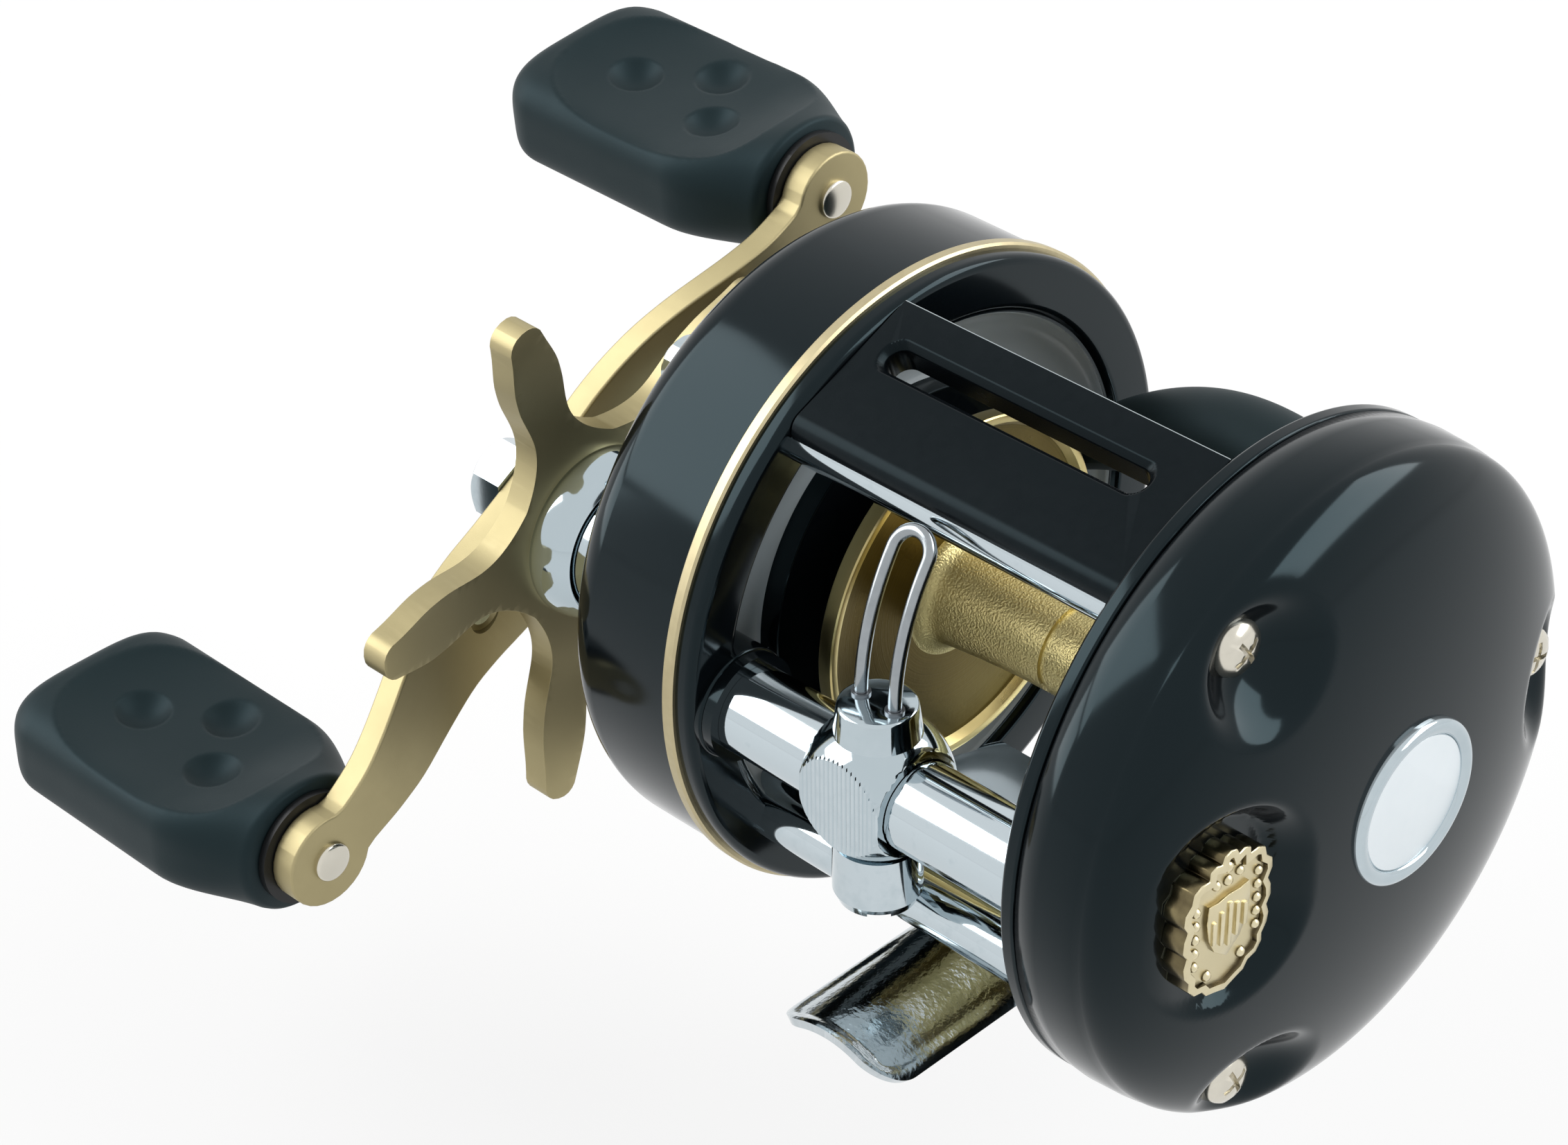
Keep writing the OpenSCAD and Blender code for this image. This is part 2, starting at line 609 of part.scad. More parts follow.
module palm_cover() color([0.03, 0.03, 0.04]) place() difference() {
    union() {
        difference() {
            turn_x(concat([[bead_r - 0.2, px_cover], [bead_r + 0.1, px_cover + skirt_w / 2]],
                dome(bead_r - 0.3, dome_h - 0.1, px_dome), [[0, px_cover]]));
            turn_x(concat([[bead_r - palm_wall - 0.3, px_cover - 1]],
                dome(bead_r - palm_wall - 0.3, dome_h - palm_wall, px_dome - 0.2),
                [[0, px_cover - 1]]));
        }
        intersection() {
            union() {
                for (a = cscrew_a) rod_x(px_cover, px_seat + 0.5, cscrew_r + 0.6,
                    cscrew_c * [cos(a), sin(a)]);
                for (a = cscrew_a) translate([px_seat + scoop_r, cscrew_c * cos(a),
                    cscrew_c * sin(a)]) sphere(r = scoop_r + palm_wall);
                for (s = [-1, 1]) rod_x(px_oval - palm_wall, px_top, oval_w / 2 + 1.2,
                    [-oval_y, oval_z + s * (oval_l - oval_w) / 2]);
                rod_x(px_top - 3.5, px_top, medal_r + 1, [medal_y, medal_z]);
            }
            turn_x(concat([[bead_r - 0.6, px_cover]],
                dome(bead_r - 0.6, dome_h - 0.4, px_dome), [[0, px_cover]]));
        }
    }
    for (a = cscrew_a) translate([0, cscrew_c * cos(a), cscrew_c * sin(a)]) {
        translate([px_seat + scoop_r, 0, 0]) sphere(r = scoop_r);
        rod_x(px_seat, px_top, cscrew_r + 0.3);
        rod_x(px_cover - 1, px_top, shank_r + seat);
    }
    translate([0, -oval_y, oval_z]) {
        for (s = [-1, 1]) rod_x(px_oval, px_top, oval_w / 2, [0, s * (oval_l - oval_w) / 2]);
        translate([px_oval, -oval_w / 2, -(oval_l - oval_w) / 2])
            cube([dome_h, oval_w, oval_l - oval_w]);
    }
    rod_x(px_top - 1.4, px_top + 1, medal_r + seat, [medal_y, medal_z]);
}

// Head with a cross recess; the shank runs into the ring
module cover_screw(turn) difference() {
    turn_x([[0, px_ring - px_seat + 0.2], [shank_r, px_ring - px_seat + 0.2], [shank_r, 0],
        [cscrew_r, 0], [cscrew_r, cscrew_h * 0.45], [cscrew_r * 0.85, cscrew_h * 0.75],
        [cscrew_r * 0.5, cscrew_h], [0, cscrew_h]]);
    for (t = [0, 90]) rotate([t + turn, 0, 0])
        translate([cscrew_h - 0.5, -cscrew_r * 0.6, -0.2]) cube([1, cscrew_r * 1.2, 0.4]);
}
module palm_screws() color([0.8, 0.77, 0.72]) place() for (i = [0:2])
    translate([px_seat, cscrew_c * cos(cscrew_a[i]), cscrew_c * sin(cscrew_a[i])])
        cover_screw(35 + 40 * i);

module medallion_bezel() color([0.85, 0.86, 0.88]) place()
    turn_x([[medal_r - bezel_w, px_top - 1.4], [medal_r, px_top - 1.4],
        [medal_r, px_top + medal_h - 0.6], [medal_r - bezel_w / 2, px_top + medal_h],
        [medal_r - bezel_w, px_top + medal_h - 0.6]], [medal_y, medal_z]);

module medallion_disc() color([0.72, 0.73, 0.75]) place()
    rod_x(px_top - 1.4, px_top + medal_h - 0.9, medal_r - bezel_w - seat, [medal_y, medal_z]);

// Shield-like tablet with stepped ends
module plaque() color([0.78, 0.68, 0.45]) place()
    translate([px_oval, -oval_y, oval_z]) flat_x(0, plaque_t) {
        square([plaque_w, plaque_l - 4], center = true);
        square([plaque_w - 2.8, plaque_l - 1.6], center = true);
        for (s = [-1, 1]) translate([0, s * (plaque_l / 2 - 2.2)]) circle(r = 2.2);
    }

module brake_plate() color([0.3, 0.31, 0.33]) place() difference() {
    union() {
        rod_x(px_plate, px_plate + 1, palm_open_r - 0.3);
        rod_x(px_plate, px_hub, bearing_r + 1.2);
        tube_x(px_plate - 3.2, px_plate + 0.5, palm_open_r - 3, palm_open_r - 4.2);
        rod_x(px_cover + seat, px_plate + 1, palm_open_r + 3);
    }
    rod_x(px_hub - bearing_w - 0.2, px_hub + 1, bearing_r + seat);
    rod_x(px_plate - 1, px_hub, shaft_r + 0.4);
}

module spool_bearings() color([0.62, 0.63, 0.65]) place() {
    tube_x(px_hub - bearing_w - 0.2 + seat, px_hub - 0.2, bearing_r, shaft_r + run / 2);
    tube_x(gx_out - 3.8, gx_out - 3.8 + bearing_w, bearing_r, shaft_r + run / 2);
}

module wind_tube() color([0.82, 0.83, 0.85]) place() at_wind() difference() {
    tube_x(lug_end - 1, px_ring, tube_r, tube_in_r);
    translate([carry_x - travel - pawl_r - 0.3, -pawl_r - 0.15, -tube_r - 1])
        cube([2 * (travel + pawl_r + 0.3), 2 * pawl_r + 0.3, tube_r]);
}

module wind_collar() color([0.5, 0.51, 0.53]) place() at_wind()
    tube_x(lug_end, tube_end, lug_r - 0.2, tube_r + seat);

module drive_shaft() color([0.66, 0.66, 0.68]) place() at_drive() {
    rod_x(gx_dish - 1, gx_nut - nut_h + 0.8, drive_r);
    rod_x(gx_flange, gx_flange - 0.8, wind_c - journal_r - 0.5);
}

module reverse_sleeve() color([0.6, 0.6, 0.62]) place() at_drive()
    tube_x(gx_in + 0.25, gx_house - 0.4, drive_r + 0.75, drive_r + seat);

module main_gear() color([0.76, 0.62, 0.36]) place() at_drive() difference() {
    flat_x(gx_main - main_w, gx_main)
        polygon(gear_points(main_teeth, main_m, drive_dir));
    rod_x(gx_main - main_w - 1, gx_main + 1, drive_r + seat);
}

module wind_cog() color([0.85, 0.84, 0.8]) place() at_drive() difference() {
    flat_x(gx_cog - cog_w, gx_cog) polygon(gear_points(cog_teeth, cog_m, 180 + wind_dir));
    rod_x(gx_cog - cog_w - 1, gx_cog + 1, drive_r + seat);
}

module drag_washers() color([0.4, 0.38, 0.35]) place() at_drive() for (i = [0:2])
    tube_x(gx_drag - i * (drag_t + 0.05), gx_drag - i * (drag_t + 0.05) - drag_t, drag_r,
        drive_r + seat);

module handle_spacer() color([0.55, 0.55, 0.57]) place() at_drive()
    tube_x(gx_arm + seat, gx_star - star_t - side, drive_r + 1.6, drive_r + seat);

// The handle's own frame: s runs down to the lower knob and t up across the arm
module along_arm() at_drive() rotate([180 + arm_a, 0, 0]) children();
function arm_near(s) = gx_arm + arm_sweep * blend(abs(s), arm_half * 0.22, arm_half * 0.83);
function arm_low(s) = arm_edge + 0.15 + arm_swell * (1 - blend(abs(s), 4, 28));
function arm_up(s) = arm_edge + 1.35 * (blend(abs(s), 5, 19) - blend(abs(s), 19, 30))
    - 0.25 * blend(abs(s), 28, 32.4);

module arm_blank() {
    span = arm_half + arm_pad_r + 1;
    intersection() {
        rotate([0, 0, 0]) translate([0, 0, -20]) linear_extrude(40) polygon(concat(
            [for (s = [-span:1.5:span]) [arm_near(s), s]], [[arm_near(span), span]],
            [[arm_near(span) - arm_t, span]],
            [for (s = [-span:1.5:span]) [arm_near(-s) - arm_t, -s]],
            [[arm_near(-span) - arm_t, -span]]));
        flat_x(gx_nut - 5, gx_pad + 5) {
            polygon(concat([for (s = [-arm_half:1.5:arm_half]) [s, -arm_up(s)]],
                [for (s = [arm_half:-1.5:-arm_half]) [s, arm_low(s)]]));
            for (s = [-1, 1]) translate([s * arm_half, 0]) circle(r = arm_pad_r);
        }
    }
}

module handle_arm() color([0.84, 0.77, 0.62]) place() along_arm() difference() {
    arm_blank();
    rod_x(gx_nut - 1, gx_arm + 1, drive_r + seat);
    for (s = [-1, 1]) rod_x(gx_pad - arm_t - 1, gx_pad + 1, pin_r + seat, [s * arm_half, 0]);
    rod_x(arm_near(11) - 1.2, arm_near(11) + 2, lock_r + seat, [11, 1.8]);
}

module handle_nut() color([0.86, 0.87, 0.89]) place() at_drive() difference() {
    intersection() {
        translate([gx_nut - nut_h, 0, 0]) rotate([0, 90, 0]) cylinder(r = nut_r, h = nut_h, $fn = 6);
        turn_x([[0, gx_nut], [nut_r, gx_nut], [nut_r, gx_nut - nut_h + 0.8],
            [nut_r - 0.8, gx_nut - nut_h], [0, gx_nut - nut_h]]);
    }
    rod_x(gx_nut + 1, gx_nut - nut_h + 0.7, drive_r + seat);
}

module lock_screw() color([0.8, 0.81, 0.83]) place() along_arm() difference() {
    rod_x(arm_near(11) - 1.2 + seat, arm_near(11) - 0.1, lock_r, [11, 1.8]);
    translate([arm_near(11) - 0.5, 11 - 0.8, 1.8 - 0.2]) cube([1, 1.6, 0.4]);
}

module knob_pins() color([0.78, 0.76, 0.72]) place() along_arm() for (s = [-1, 1]) {
    rod_x(gx_pad, gx_knob - pin_len, pin_r, [s * arm_half, 0]);
    turn_x([[0, gx_pad], [pin_head_r, gx_pad], [pin_head_r, gx_pad + 0.5],
        [pin_head_r - 0.3, gx_pad + 0.8], [0, gx_pad + 0.8]], [s * arm_half, 0]);
}

module knob_collars() color([0.05, 0.05, 0.05]) place() along_arm() for (s = [-1, 1])
    tube_x(gx_pad - arm_t - seat, gx_pad - arm_t - kcollar_t, kcollar_r, pin_r + seat,
        [s * arm_half, 0]);

// Half width of the grip at d from its collar, with an end rounded over e
function knob_half(d, full, e) = let (n = knob_neck, u = max(0, d - knob_l + e) / e)
    (n + (full - n) * blend(d, 0, 9)) * sqrt(1 - pow(0.96 * u, 2.4));
module knob_profile(full, e) let (dd = concat([for (d = [0:1.5:knob_l - e]) d],
    [for (i = [1:6]) knob_l - e + e * sin(15 * i)])) polygon(concat(
        [for (d = dd) [gx_knob - d, knob_half(d, full, e)]],
        [for (i = [len(dd) - 1:-1:0]) [gx_knob - dd[i], -knob_half(dd[i], full, e)]]));
// Grip with its pin along X; turn stands for the way it hangs at rest
module knob(turn) rotate([turn, 0, 0]) difference() {
    intersection() {
        translate([0, 0, -knob_t]) linear_extrude(2 * knob_t) knob_profile(knob_w / 2, 5);
        rotate([90, 0, 0]) translate([0, 0, -knob_w]) linear_extrude(2 * knob_w)
            knob_profile(knob_t / 2, 3);
        flat_x(knob_end - 1, gx_knob + 1) {
            circle(r = knob_neck);
            square([knob_w - 2 * knob_edge, knob_t], center = true);
            square([knob_w, knob_t - 2 * knob_edge], center = true);
            for (y = [-1, 1], z = [-1, 1])
                translate([y * (knob_w / 2 - knob_edge), z * (knob_t / 2 - knob_edge)])
                    circle(r = knob_edge);
        }
    }
    rod_x(gx_knob + 1, gx_knob - pin_len - 0.4, pin_r + run);
    translate([(gx_knob + knob_end) / 2 + 0.6, 0, knob_t / 2 + 60 - knob_dish]) sphere(r = 60);
    translate([gx_knob - 20.6, -1.3, knob_t / 2 - knob_dish + 4.4]) sphere(r = 5.2);
    translate([gx_knob - 14.2, 3.6, knob_t / 2 - knob_dish + 4.4]) sphere(r = 5.2);
    translate([gx_knob - 9.2, -1.9, knob_t / 2 - knob_dish + 4.4]) sphere(r = 5.2);
}
module knob_upper() color([0.09, 0.1, 0.11]) place() at_drive()
    translate([0, arm_half * cos(arm_a), arm_half * sin(arm_a)]) knob(knob_turn);
module knob_lower() color([0.09, 0.1, 0.11]) place() at_drive()
    translate([0, -arm_half * cos(arm_a), -arm_half * sin(arm_a)]) knob(0);

// An arm flares into the hub, has a waist just outside it, swells a little and then tapers
star_waist = star_hub_r + 4.3;
star_web = star_hub_r - 1.7;
function star_half(d) = star_arm_w / 2 - 0.4 * (1 - blend(d, star_waist, star_waist + 4.5))
    + 3.3 * pow(max(0, star_waist - d) / 6, 2) - 0.85 * blend(d, star_r - 6.6, star_r - 0.6);
module star_outline() {
    circle(r = star_hub_r);
    for (i = [0:star_n - 1]) rotate(37.5 + i * 360 / star_n) {
        polygon(concat(
            [for (i = [0:18]) let (d = star_web + i * (star_r - star_tip_r - 0.5 - star_web) / 18)
                [d, -star_half(d)]],
            [[star_r - 1.2, -star_tip_r * 0.75], [star_r, -star_tip_r * 0.3],
                [star_r, star_tip_r * 0.3], [star_r - 1.2, star_tip_r * 0.75]],
            [for (i = [18:-1:0]) let (d = star_web + i * (star_r - star_tip_r - 0.5 - star_web) / 18)
                [d, star_half(d)]],
            [[0, 0]]));
    }
}
// The arms bend back a little at a time from the hub out to the tips
star_steps = concat([0], [for (i = [0:7]) star_hub_r + 3 + i * (star_r - star_hub_r - 2) / 7]);
function star_lean(d) = star_bend * blend(d, star_hub_r + 3, star_r + 0.2);
module star_drag() color([0.84, 0.77, 0.62]) place() at_drive() difference() {
    intersection() {
        flat_x(gx_star - star_t, gx_star + star_bend) star_outline();
        turn_x(concat([for (d = star_steps) [d, gx_star + star_lean(d)]],
            [for (i = [len(star_steps) - 1:-1:0])
                [star_steps[i], gx_star - star_t + star_lean(star_steps[i])]]));
    }
    rod_x(gx_star - star_t - 1, gx_star + 1, drive_r + run);
}

module star_collar() color([0.82, 0.83, 0.85]) place() at_drive()
    turn_x([[drive_r + run, gx_star], [collar_r, gx_star], [collar_r - 0.05, gx_star + 1],
        [collar_r - 0.3, gx_star + 2], [collar_r - 0.7, gx_star + 3],
        [collar_r - 1.1, gx_star + collar_l - 0.2], [house_r + 0.35, gx_star + collar_l],
        [house_r + 0.3, gx_star + collar_l - 0.2],
        [house_r + 0.3, gx_house - 0.6], [drive_r + run, gx_house - 0.6]]);

// Arbor with a waist, one fillet into each flange, and thin flanges
function arbor(x) = arbor_r + arbor_flare * pow(x / spool_left, 2);
module spool() color([0.72, 0.63, 0.42]) place() {
    f = 1.6;
    l = -spool_left + flange_t;
    r = spool_right - flange_t;
    turn_x(concat([[shaft_r + seat, -spool_left], [spool_r - 0.3, -spool_left],
        [spool_r, -spool_left + 0.3], [spool_r, l], [spool_r - 0.9, l + 0.25],
        [spool_r - 1.2, l]],
        [for (a = [0:15:90]) [arbor(l + f) + f * (1 - sin(a)), l + f * (1 - cos(a))]],
        [for (i = [1:7]) let (x = l + f + i * (r - l - 2 * f) / 8)
            [arbor(x) - (i == 4 ? 0.35 : 0), x]],
        [for (a = [90:-15:0]) [arbor(r - f) + f * (1 - sin(a)), r - f * (1 - cos(a))]],
        [[spool_r - 1.2, r], [spool_r - 0.9, r - 0.25], [spool_r, r],
            [spool_r, spool_right - 0.3], [spool_r - 0.3, spool_right],
            [shaft_r + seat, spool_right]]));
}

module spool_shaft() color([0.7, 0.7, 0.72]) place()
    rod_x(gx_out - 4.4, px_hub - 0.1, shaft_r);

module brake_blocks() color([0.25, 0.25, 0.27]) place() {
    tube_x(spool_right, px_plate - 0.4, shaft_r + 1.8, shaft_r + seat);
    for (s = [-1, 1]) {
        translate([px_plate - 2.2, 0, 0]) rotate([s * 90, 0, 0]) {
            translate([0, 0, shaft_r + 1.5]) cylinder(r = 0.5, h = palm_open_r - 7.2 - shaft_r);
            translate([0, 0, palm_open_r - 7.6]) cylinder(r = 1.3, h = 2.9);
        }
    }
}

// Pinion: teeth, a neck for the yoke and a shoulder towards the spool
module pinion() color([0.76, 0.62, 0.36]) place() difference() {
    union() {
        flat_x(px_in3, px_in2)
            polygon(gear_points(pinion_teeth, main_m, 180 + drive_dir + 180 / pinion_teeth));
        rod_x(px_in3 + 0.2, px_in0, pin_root_r - 0.02);
        rod_x(px_in1, px_in0, pin_out_r);
    }
    rod_x(px_in3 - 1, px_in0 + 1, shaft_r + run);
}

module clutch_yoke() color([0.6, 0.6, 0.62]) place() difference() {
    flat_x(px_in2 + side, px_in1 - side) difference() {
        translate([-1, -post_z - 2]) square([post_y + 3, 2 * post_z + 4]);
        translate([-2, -pin_root_r - 0.15]) square([2, 2 * pin_root_r + 0.3]);
        circle(r = pin_root_r + 0.15);
        translate([-drive_y, -drive_z]) circle(r = main_out_r + 0.35);
        for (s = [-1, 1]) translate([post_y, s * post_z]) circle(r = post_r + run);
    }
}

module worm_shaft() color([0.68, 0.68, 0.7]) place() at_wind()
    rod_x(gx_cog - cog_w - 0.4, px_cover - 0.2, journal_r);

// Crossed grooves: slanting slots of both hands, cut down to the core
module worm_thread() color([0.7, 0.7, 0.72]) place() at_wind() {
    x0 = tube_end + 0.6;
    x1 = px_ring - 1.6;
    difference() {
        rod_x(x0, x1, worm_r);
        difference() {
            for (x = [x0 + 1.5:worm_pitch:x1 - 1], s = [-1, 1]) translate([x, 0, 0])
                rotate([0, s * 32, 0]) cube([0.9, 3 * worm_r, 4 * worm_r], center = true);
            rod_x(x0 - 1, x1 + 1, worm_r - 0.5);
        }
        rod_x(x0 - 1, x1 + 1, journal_r + seat);
    }
}

module worm_gear() color([0.85, 0.84, 0.8]) place() at_wind() difference() {
    flat_x(gx_cog - cog_w, gx_cog) polygon(gear_points(worm_teeth, cog_m,
        wind_dir + 180 / worm_teeth));
    rod_x(gx_cog - cog_w - 1, gx_cog + 1, journal_r + seat);
}

// Ball that rides on the tube, with a grooved face and a collar for the wire
module guide_carriage() color([0.85, 0.86, 0.88]) place() at_wind()
    translate([carry_x, 0, 0]) difference() {
        union() {
            intersection() {
                sphere(r = ball_r);
                translate([-ball_l / 2, -face_d, -ball_r + 0.8])
                    cube([ball_l, face_d + ball_r, 2 * ball_r]);
            }
            translate([0, 0, tube_r + 0.4]) cylinder(r1 = 3.75, r2 = 3.2, h = 3.6);
            translate([0, 0, -ball_r + 0.8]) cylinder(r = pcap_r - 0.3, h = 1.2);
        }
        rod_x(-ball_l, ball_l, tube_r + 0.07);
        for (i = [0:face_n - 1]) translate([(i - (face_n - 1) / 2) * 8 / face_n - 0.11,
            -face_d - 1, -ball_r]) cube([0.22, 1.16, 2 * ball_r]);
        translate([0, 0, -ball_r]) cylinder(r = pawl_r + run, h = ball_r);
        for (s = [-1, 1]) translate([s * wire_w / 2, 0, tube_r + 1])
            cylinder(r = wire_d / 2 + 0.25, h = 4);
    }

module guide_ferrules() color([0.45, 0.46, 0.48]) place() at_wind()
    for (s = [-1, 1]) translate([carry_x + s * wire_w / 2, 0, tube_r + 1 + seat])
        difference() {
            cylinder(r = wire_d / 2 + 0.23, h = 3.2);
            translate([0, 0, -1]) cylinder(r = wire_d / 2 + seat, h = 6);
        }

// Wire loop: a left leg that leans back, one bend over the line and a right leg.
// Each entry of the path is a point, its tangent and the normal of the loop's plane.
function lean_at(a) = [0, sin(a), cos(a)];
function leg_at(sx, a) = [sx * wire_w / 2, wire_bend * (1 - cos(a)), wire_bend * sin(a)];
wire_up = lean_at(wire_lean);
wire_path = concat(
    [[[-wire_w / 2, 0, -2.7], [0, 0, 1], 0]],
    [for (i = [0:8]) let (a = wire_lean * i / 8) [leg_at(-1, a), lean_at(a), a]],
    [for (i = [1:9]) let (b = 18 * i) [leg_at(0, wire_lean) + wire_w / 2
        * ([-cos(b), 0, 0] + sin(b) * wire_up), [sin(b), 0, 0] + cos(b) * wire_up, wire_lean]],
    [for (i = [8:-1:0]) let (a = wire_lean * i / 8) [leg_at(1, a), -lean_at(a), a]],
    [[[wire_w / 2, 0, -2.7], [0, 0, -1], 0]]);
module sweep_wire(path, r, k) polyhedron(
    points = [for (q = path) let (w = [0, -cos(q[2]), sin(q[2])], b = cross(q[1], w))
        for (j = [0:k - 1]) q[0] + r * (cos(j * 360 / k) * b + sin(j * 360 / k) * w)],
    faces = concat([[for (j = [0:k - 1]) j]],
        [[for (j = [k - 1:-1:0]) (len(path) - 1) * k + j]],
        [for (i = [0:len(path) - 2], j = [0:k - 1])
            [i * k + j, (i + 1) * k + j, (i + 1) * k + (j + 1) % k, i * k + (j + 1) % k]]));
module guide_wire() color([0.75, 0.75, 0.76]) place() at_wind()
    translate([carry_x, 0, tube_r + 3.8]) sweep_wire(wire_path, wire_d / 2, 12);

module pawl() color([0.6, 0.6, 0.62]) place() at_wind() translate([carry_x, 0, 0]) {
    translate([0, 0, -ball_r - 1.6]) cylinder(r = pawl_r, h = ball_r + 1.6 - worm_r - 0.15);
    translate([0, 0, -ball_r - 1.6]) cylinder(r = pawl_r + 0.9, h = 1.8);
}

module pawl_cap() color([0.85, 0.86, 0.88]) place() at_wind()
    translate([carry_x, 0, -ball_r + 0.8 - seat]) difference() {
        rotate_extrude() polygon([[0, 0], [pcap_r, 0], [pcap_r, -pcap_l + 1.4],
            [pcap_r - 0.4, -pcap_l + 0.5], [pcap_r - 1.3, -pcap_l], [0, -pcap_l]]);
        translate([0, 0, -2.5]) cylinder(r = pawl_r + 1, h = 3);
        translate([0, 0, -pcap_l]) rotate([0, 0, 45]) cube([1.9, 10, 1.8], center = true);
    }

// Bar across the back, cut clear of the spool through its whole travel
module thumb_bar() color([0.04, 0.04, 0.05]) place() difference() {
    hull() {
        rod_x(gx_boss + 0.3, px_boss - 0.3, 2.4, [bar_y - 0.8, bar_z - 9]);
        rod_x(gx_boss + 0.3, px_boss - 0.3, 2, [bar_y - 1.4, bar_z - 6.4]);
        translate([3.2, bar_y, bar_z - bar_d - 1.1]) rod_x(-8, 8, bar_d);
        translate([3.2, bar_y, bar_z - bar_d]) rod_x(-3.2, 3.2, bar_d);
    }
    rod_x(gx_ring - 3, px_ring + 1, spool_r + 0.5);
    rod_x(gx_ring - 3, px_ring + 1, spool_r + 0.5, [0, press / 2]);
    rod_x(gx_ring - 3, px_ring + 1, spool_r + 0.5, [0, press]);
}

module tension_cap() color([0.82, 0.83, 0.85]) place() difference() {
    turn_x([[0, gx_out - cap_l], [cap_r - 1, gx_out - cap_l], [cap_r, gx_out - cap_l + 1],
        [cap_r, gx_out - 0.8], [cap_r - 0.3, gx_out - 0.4], [0, gx_out - 0.4]]);
    rod_x(gx_out + 1, gx_out - 4.6, hub_r + run);
}

gear_ring();
palm_ring();
trim_ring();
pillar_upper();
pillar_front();
pillar_rear();
top_plate();
foot_plate();
reel_foot();
foot_rivets();
gear_cover();
thumb_screws();
drive_housing();
reverse_bearing();
clutch_posts();
palm_cover();
palm_screws();
medallion_bezel();
medallion_disc();
plaque();
brake_plate();
spool_bearings();
wind_tube();
wind_collar();
drive_shaft();
reverse_sleeve();
main_gear();
wind_cog();
drag_washers();
handle_spacer();
handle_arm();
handle_nut();
lock_screw();
knob_pins();
knob_collars();
star_drag();
star_collar();
knob_upper();
knob_lower();
spool();
spool_shaft();
brake_blocks();
pinion();
clutch_yoke();
worm_shaft();
worm_thread();
worm_gear();
guide_carriage();
guide_ferrules();
guide_wire();
pawl();
pawl_cap();
thumb_bar();
tension_cap();
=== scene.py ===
# %% [markdown]
# # A round baitcasting reel
# The exact solids come in first, as a fixed frame. Every shape made here sits on that frame, in metres:
# +X points to the palm side, -Y to the line guide, and +Z away from the rod. The solids know how the reel is
# built and how it moves. This lesson gives them soft edges, turned and stamped forms, and real finishes.

import math

import bpy
from mathutils import Matrix, Vector


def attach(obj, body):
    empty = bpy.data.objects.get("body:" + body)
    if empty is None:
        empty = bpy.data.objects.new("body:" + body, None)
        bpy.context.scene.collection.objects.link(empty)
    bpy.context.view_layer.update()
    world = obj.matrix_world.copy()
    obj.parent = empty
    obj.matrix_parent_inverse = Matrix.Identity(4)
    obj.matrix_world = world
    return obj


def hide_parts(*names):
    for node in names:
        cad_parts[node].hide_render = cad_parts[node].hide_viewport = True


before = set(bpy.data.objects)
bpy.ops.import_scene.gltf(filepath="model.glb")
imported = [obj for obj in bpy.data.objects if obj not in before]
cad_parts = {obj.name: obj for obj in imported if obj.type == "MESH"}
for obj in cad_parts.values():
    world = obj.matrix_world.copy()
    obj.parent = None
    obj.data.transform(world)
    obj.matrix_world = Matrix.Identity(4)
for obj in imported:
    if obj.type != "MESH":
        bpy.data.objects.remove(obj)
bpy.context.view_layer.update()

# %% [markdown]
# ## Measuring from the spool
# A reel maker measures from the middle of the spool, in millimetres. spot() turns such a place into metres in
# the frame, and the few sizes that several pieces share are written once.

# %% Places and shared sizes
MM = 0.001
MID = Vector((0.5, 0.0, 33.1))
DRIVE = (-14.2, -0.5)
WIND = (-23.2, -0.6)
ARM_HALF, ARM_ANGLE = 36.2, math.radians(31.9)
CARRIAGE_X = 0.3


def spot(x, y=0.0, z=0.0):
    return (MID + Vector((x, y, z))) * MM


def around(y, z, radius, degrees):
    a = math.radians(degrees)
    return y + radius * math.cos(a), z + radius * math.sin(a)


def ease(v, a, b):
    t = max(0.0, min(1.0, (v - a) / (b - a)))
    return t * t * (3 - 2 * t)


print("the spool's middle is at", tuple(round(c, 4) for c in spot(0)))

# %% [markdown]
# ## A lathe made of extrusions
# Most of this reel was turned on a lathe. A circle is added where the profile starts, then extruded along X and
# scaled at each step, and that gives clean rings of quads which bevel well. The tiny circles at a closed end
# melt into one point when doubles are merged.

# %% Lathe and finishing helpers
def nothing_selected():
    bpy.ops.object.select_all(action="DESELECT")


def only(obj):
    nothing_selected()
    obj.select_set(True)
    bpy.context.view_layer.objects.active = obj


def turned(name, profile, y=0.0, z=0.0, count=128, ring=False):
    nothing_selected()
    x, r = profile[0]
    bpy.ops.mesh.primitive_circle_add(vertices=count, radius=max(r, 0.01) * MM, location=spot(x, y, z),
                                      rotation=(0, math.pi / 2, 0))
    obj = bpy.context.object
    obj.name = name
    bpy.ops.object.mode_set(mode="EDIT")
    bpy.ops.mesh.select_all(action="SELECT")
    for x2, r2 in profile[1:] + ([profile[0]] if ring else []):
        bpy.ops.mesh.extrude_region_move(TRANSFORM_OT_translate={"value": ((x2 - x) * MM, 0, 0)})
        s = max(r2, 0.01) / max(r, 0.01)
        if abs(s - 1) > 1e-9:
            bpy.ops.transform.resize(value=(1, s, s), center_override=spot(x2, y, z))
        x, r = x2, r2
    bpy.ops.object.mode_set(mode="OBJECT")
    return obj


def bevel(obj, width, degrees=35, segments=3):
    only(obj)
    m = obj.modifiers.new("edge", "BEVEL")
    m.width, m.segments, m.limit_method, m.angle_limit = width * MM, segments, "ANGLE", math.radians(degrees)
    bpy.ops.object.modifier_apply(modifier="edge")


def settle(obj):
    only(obj)
    bpy.ops.object.transform_apply(location=True, rotation=True, scale=True)


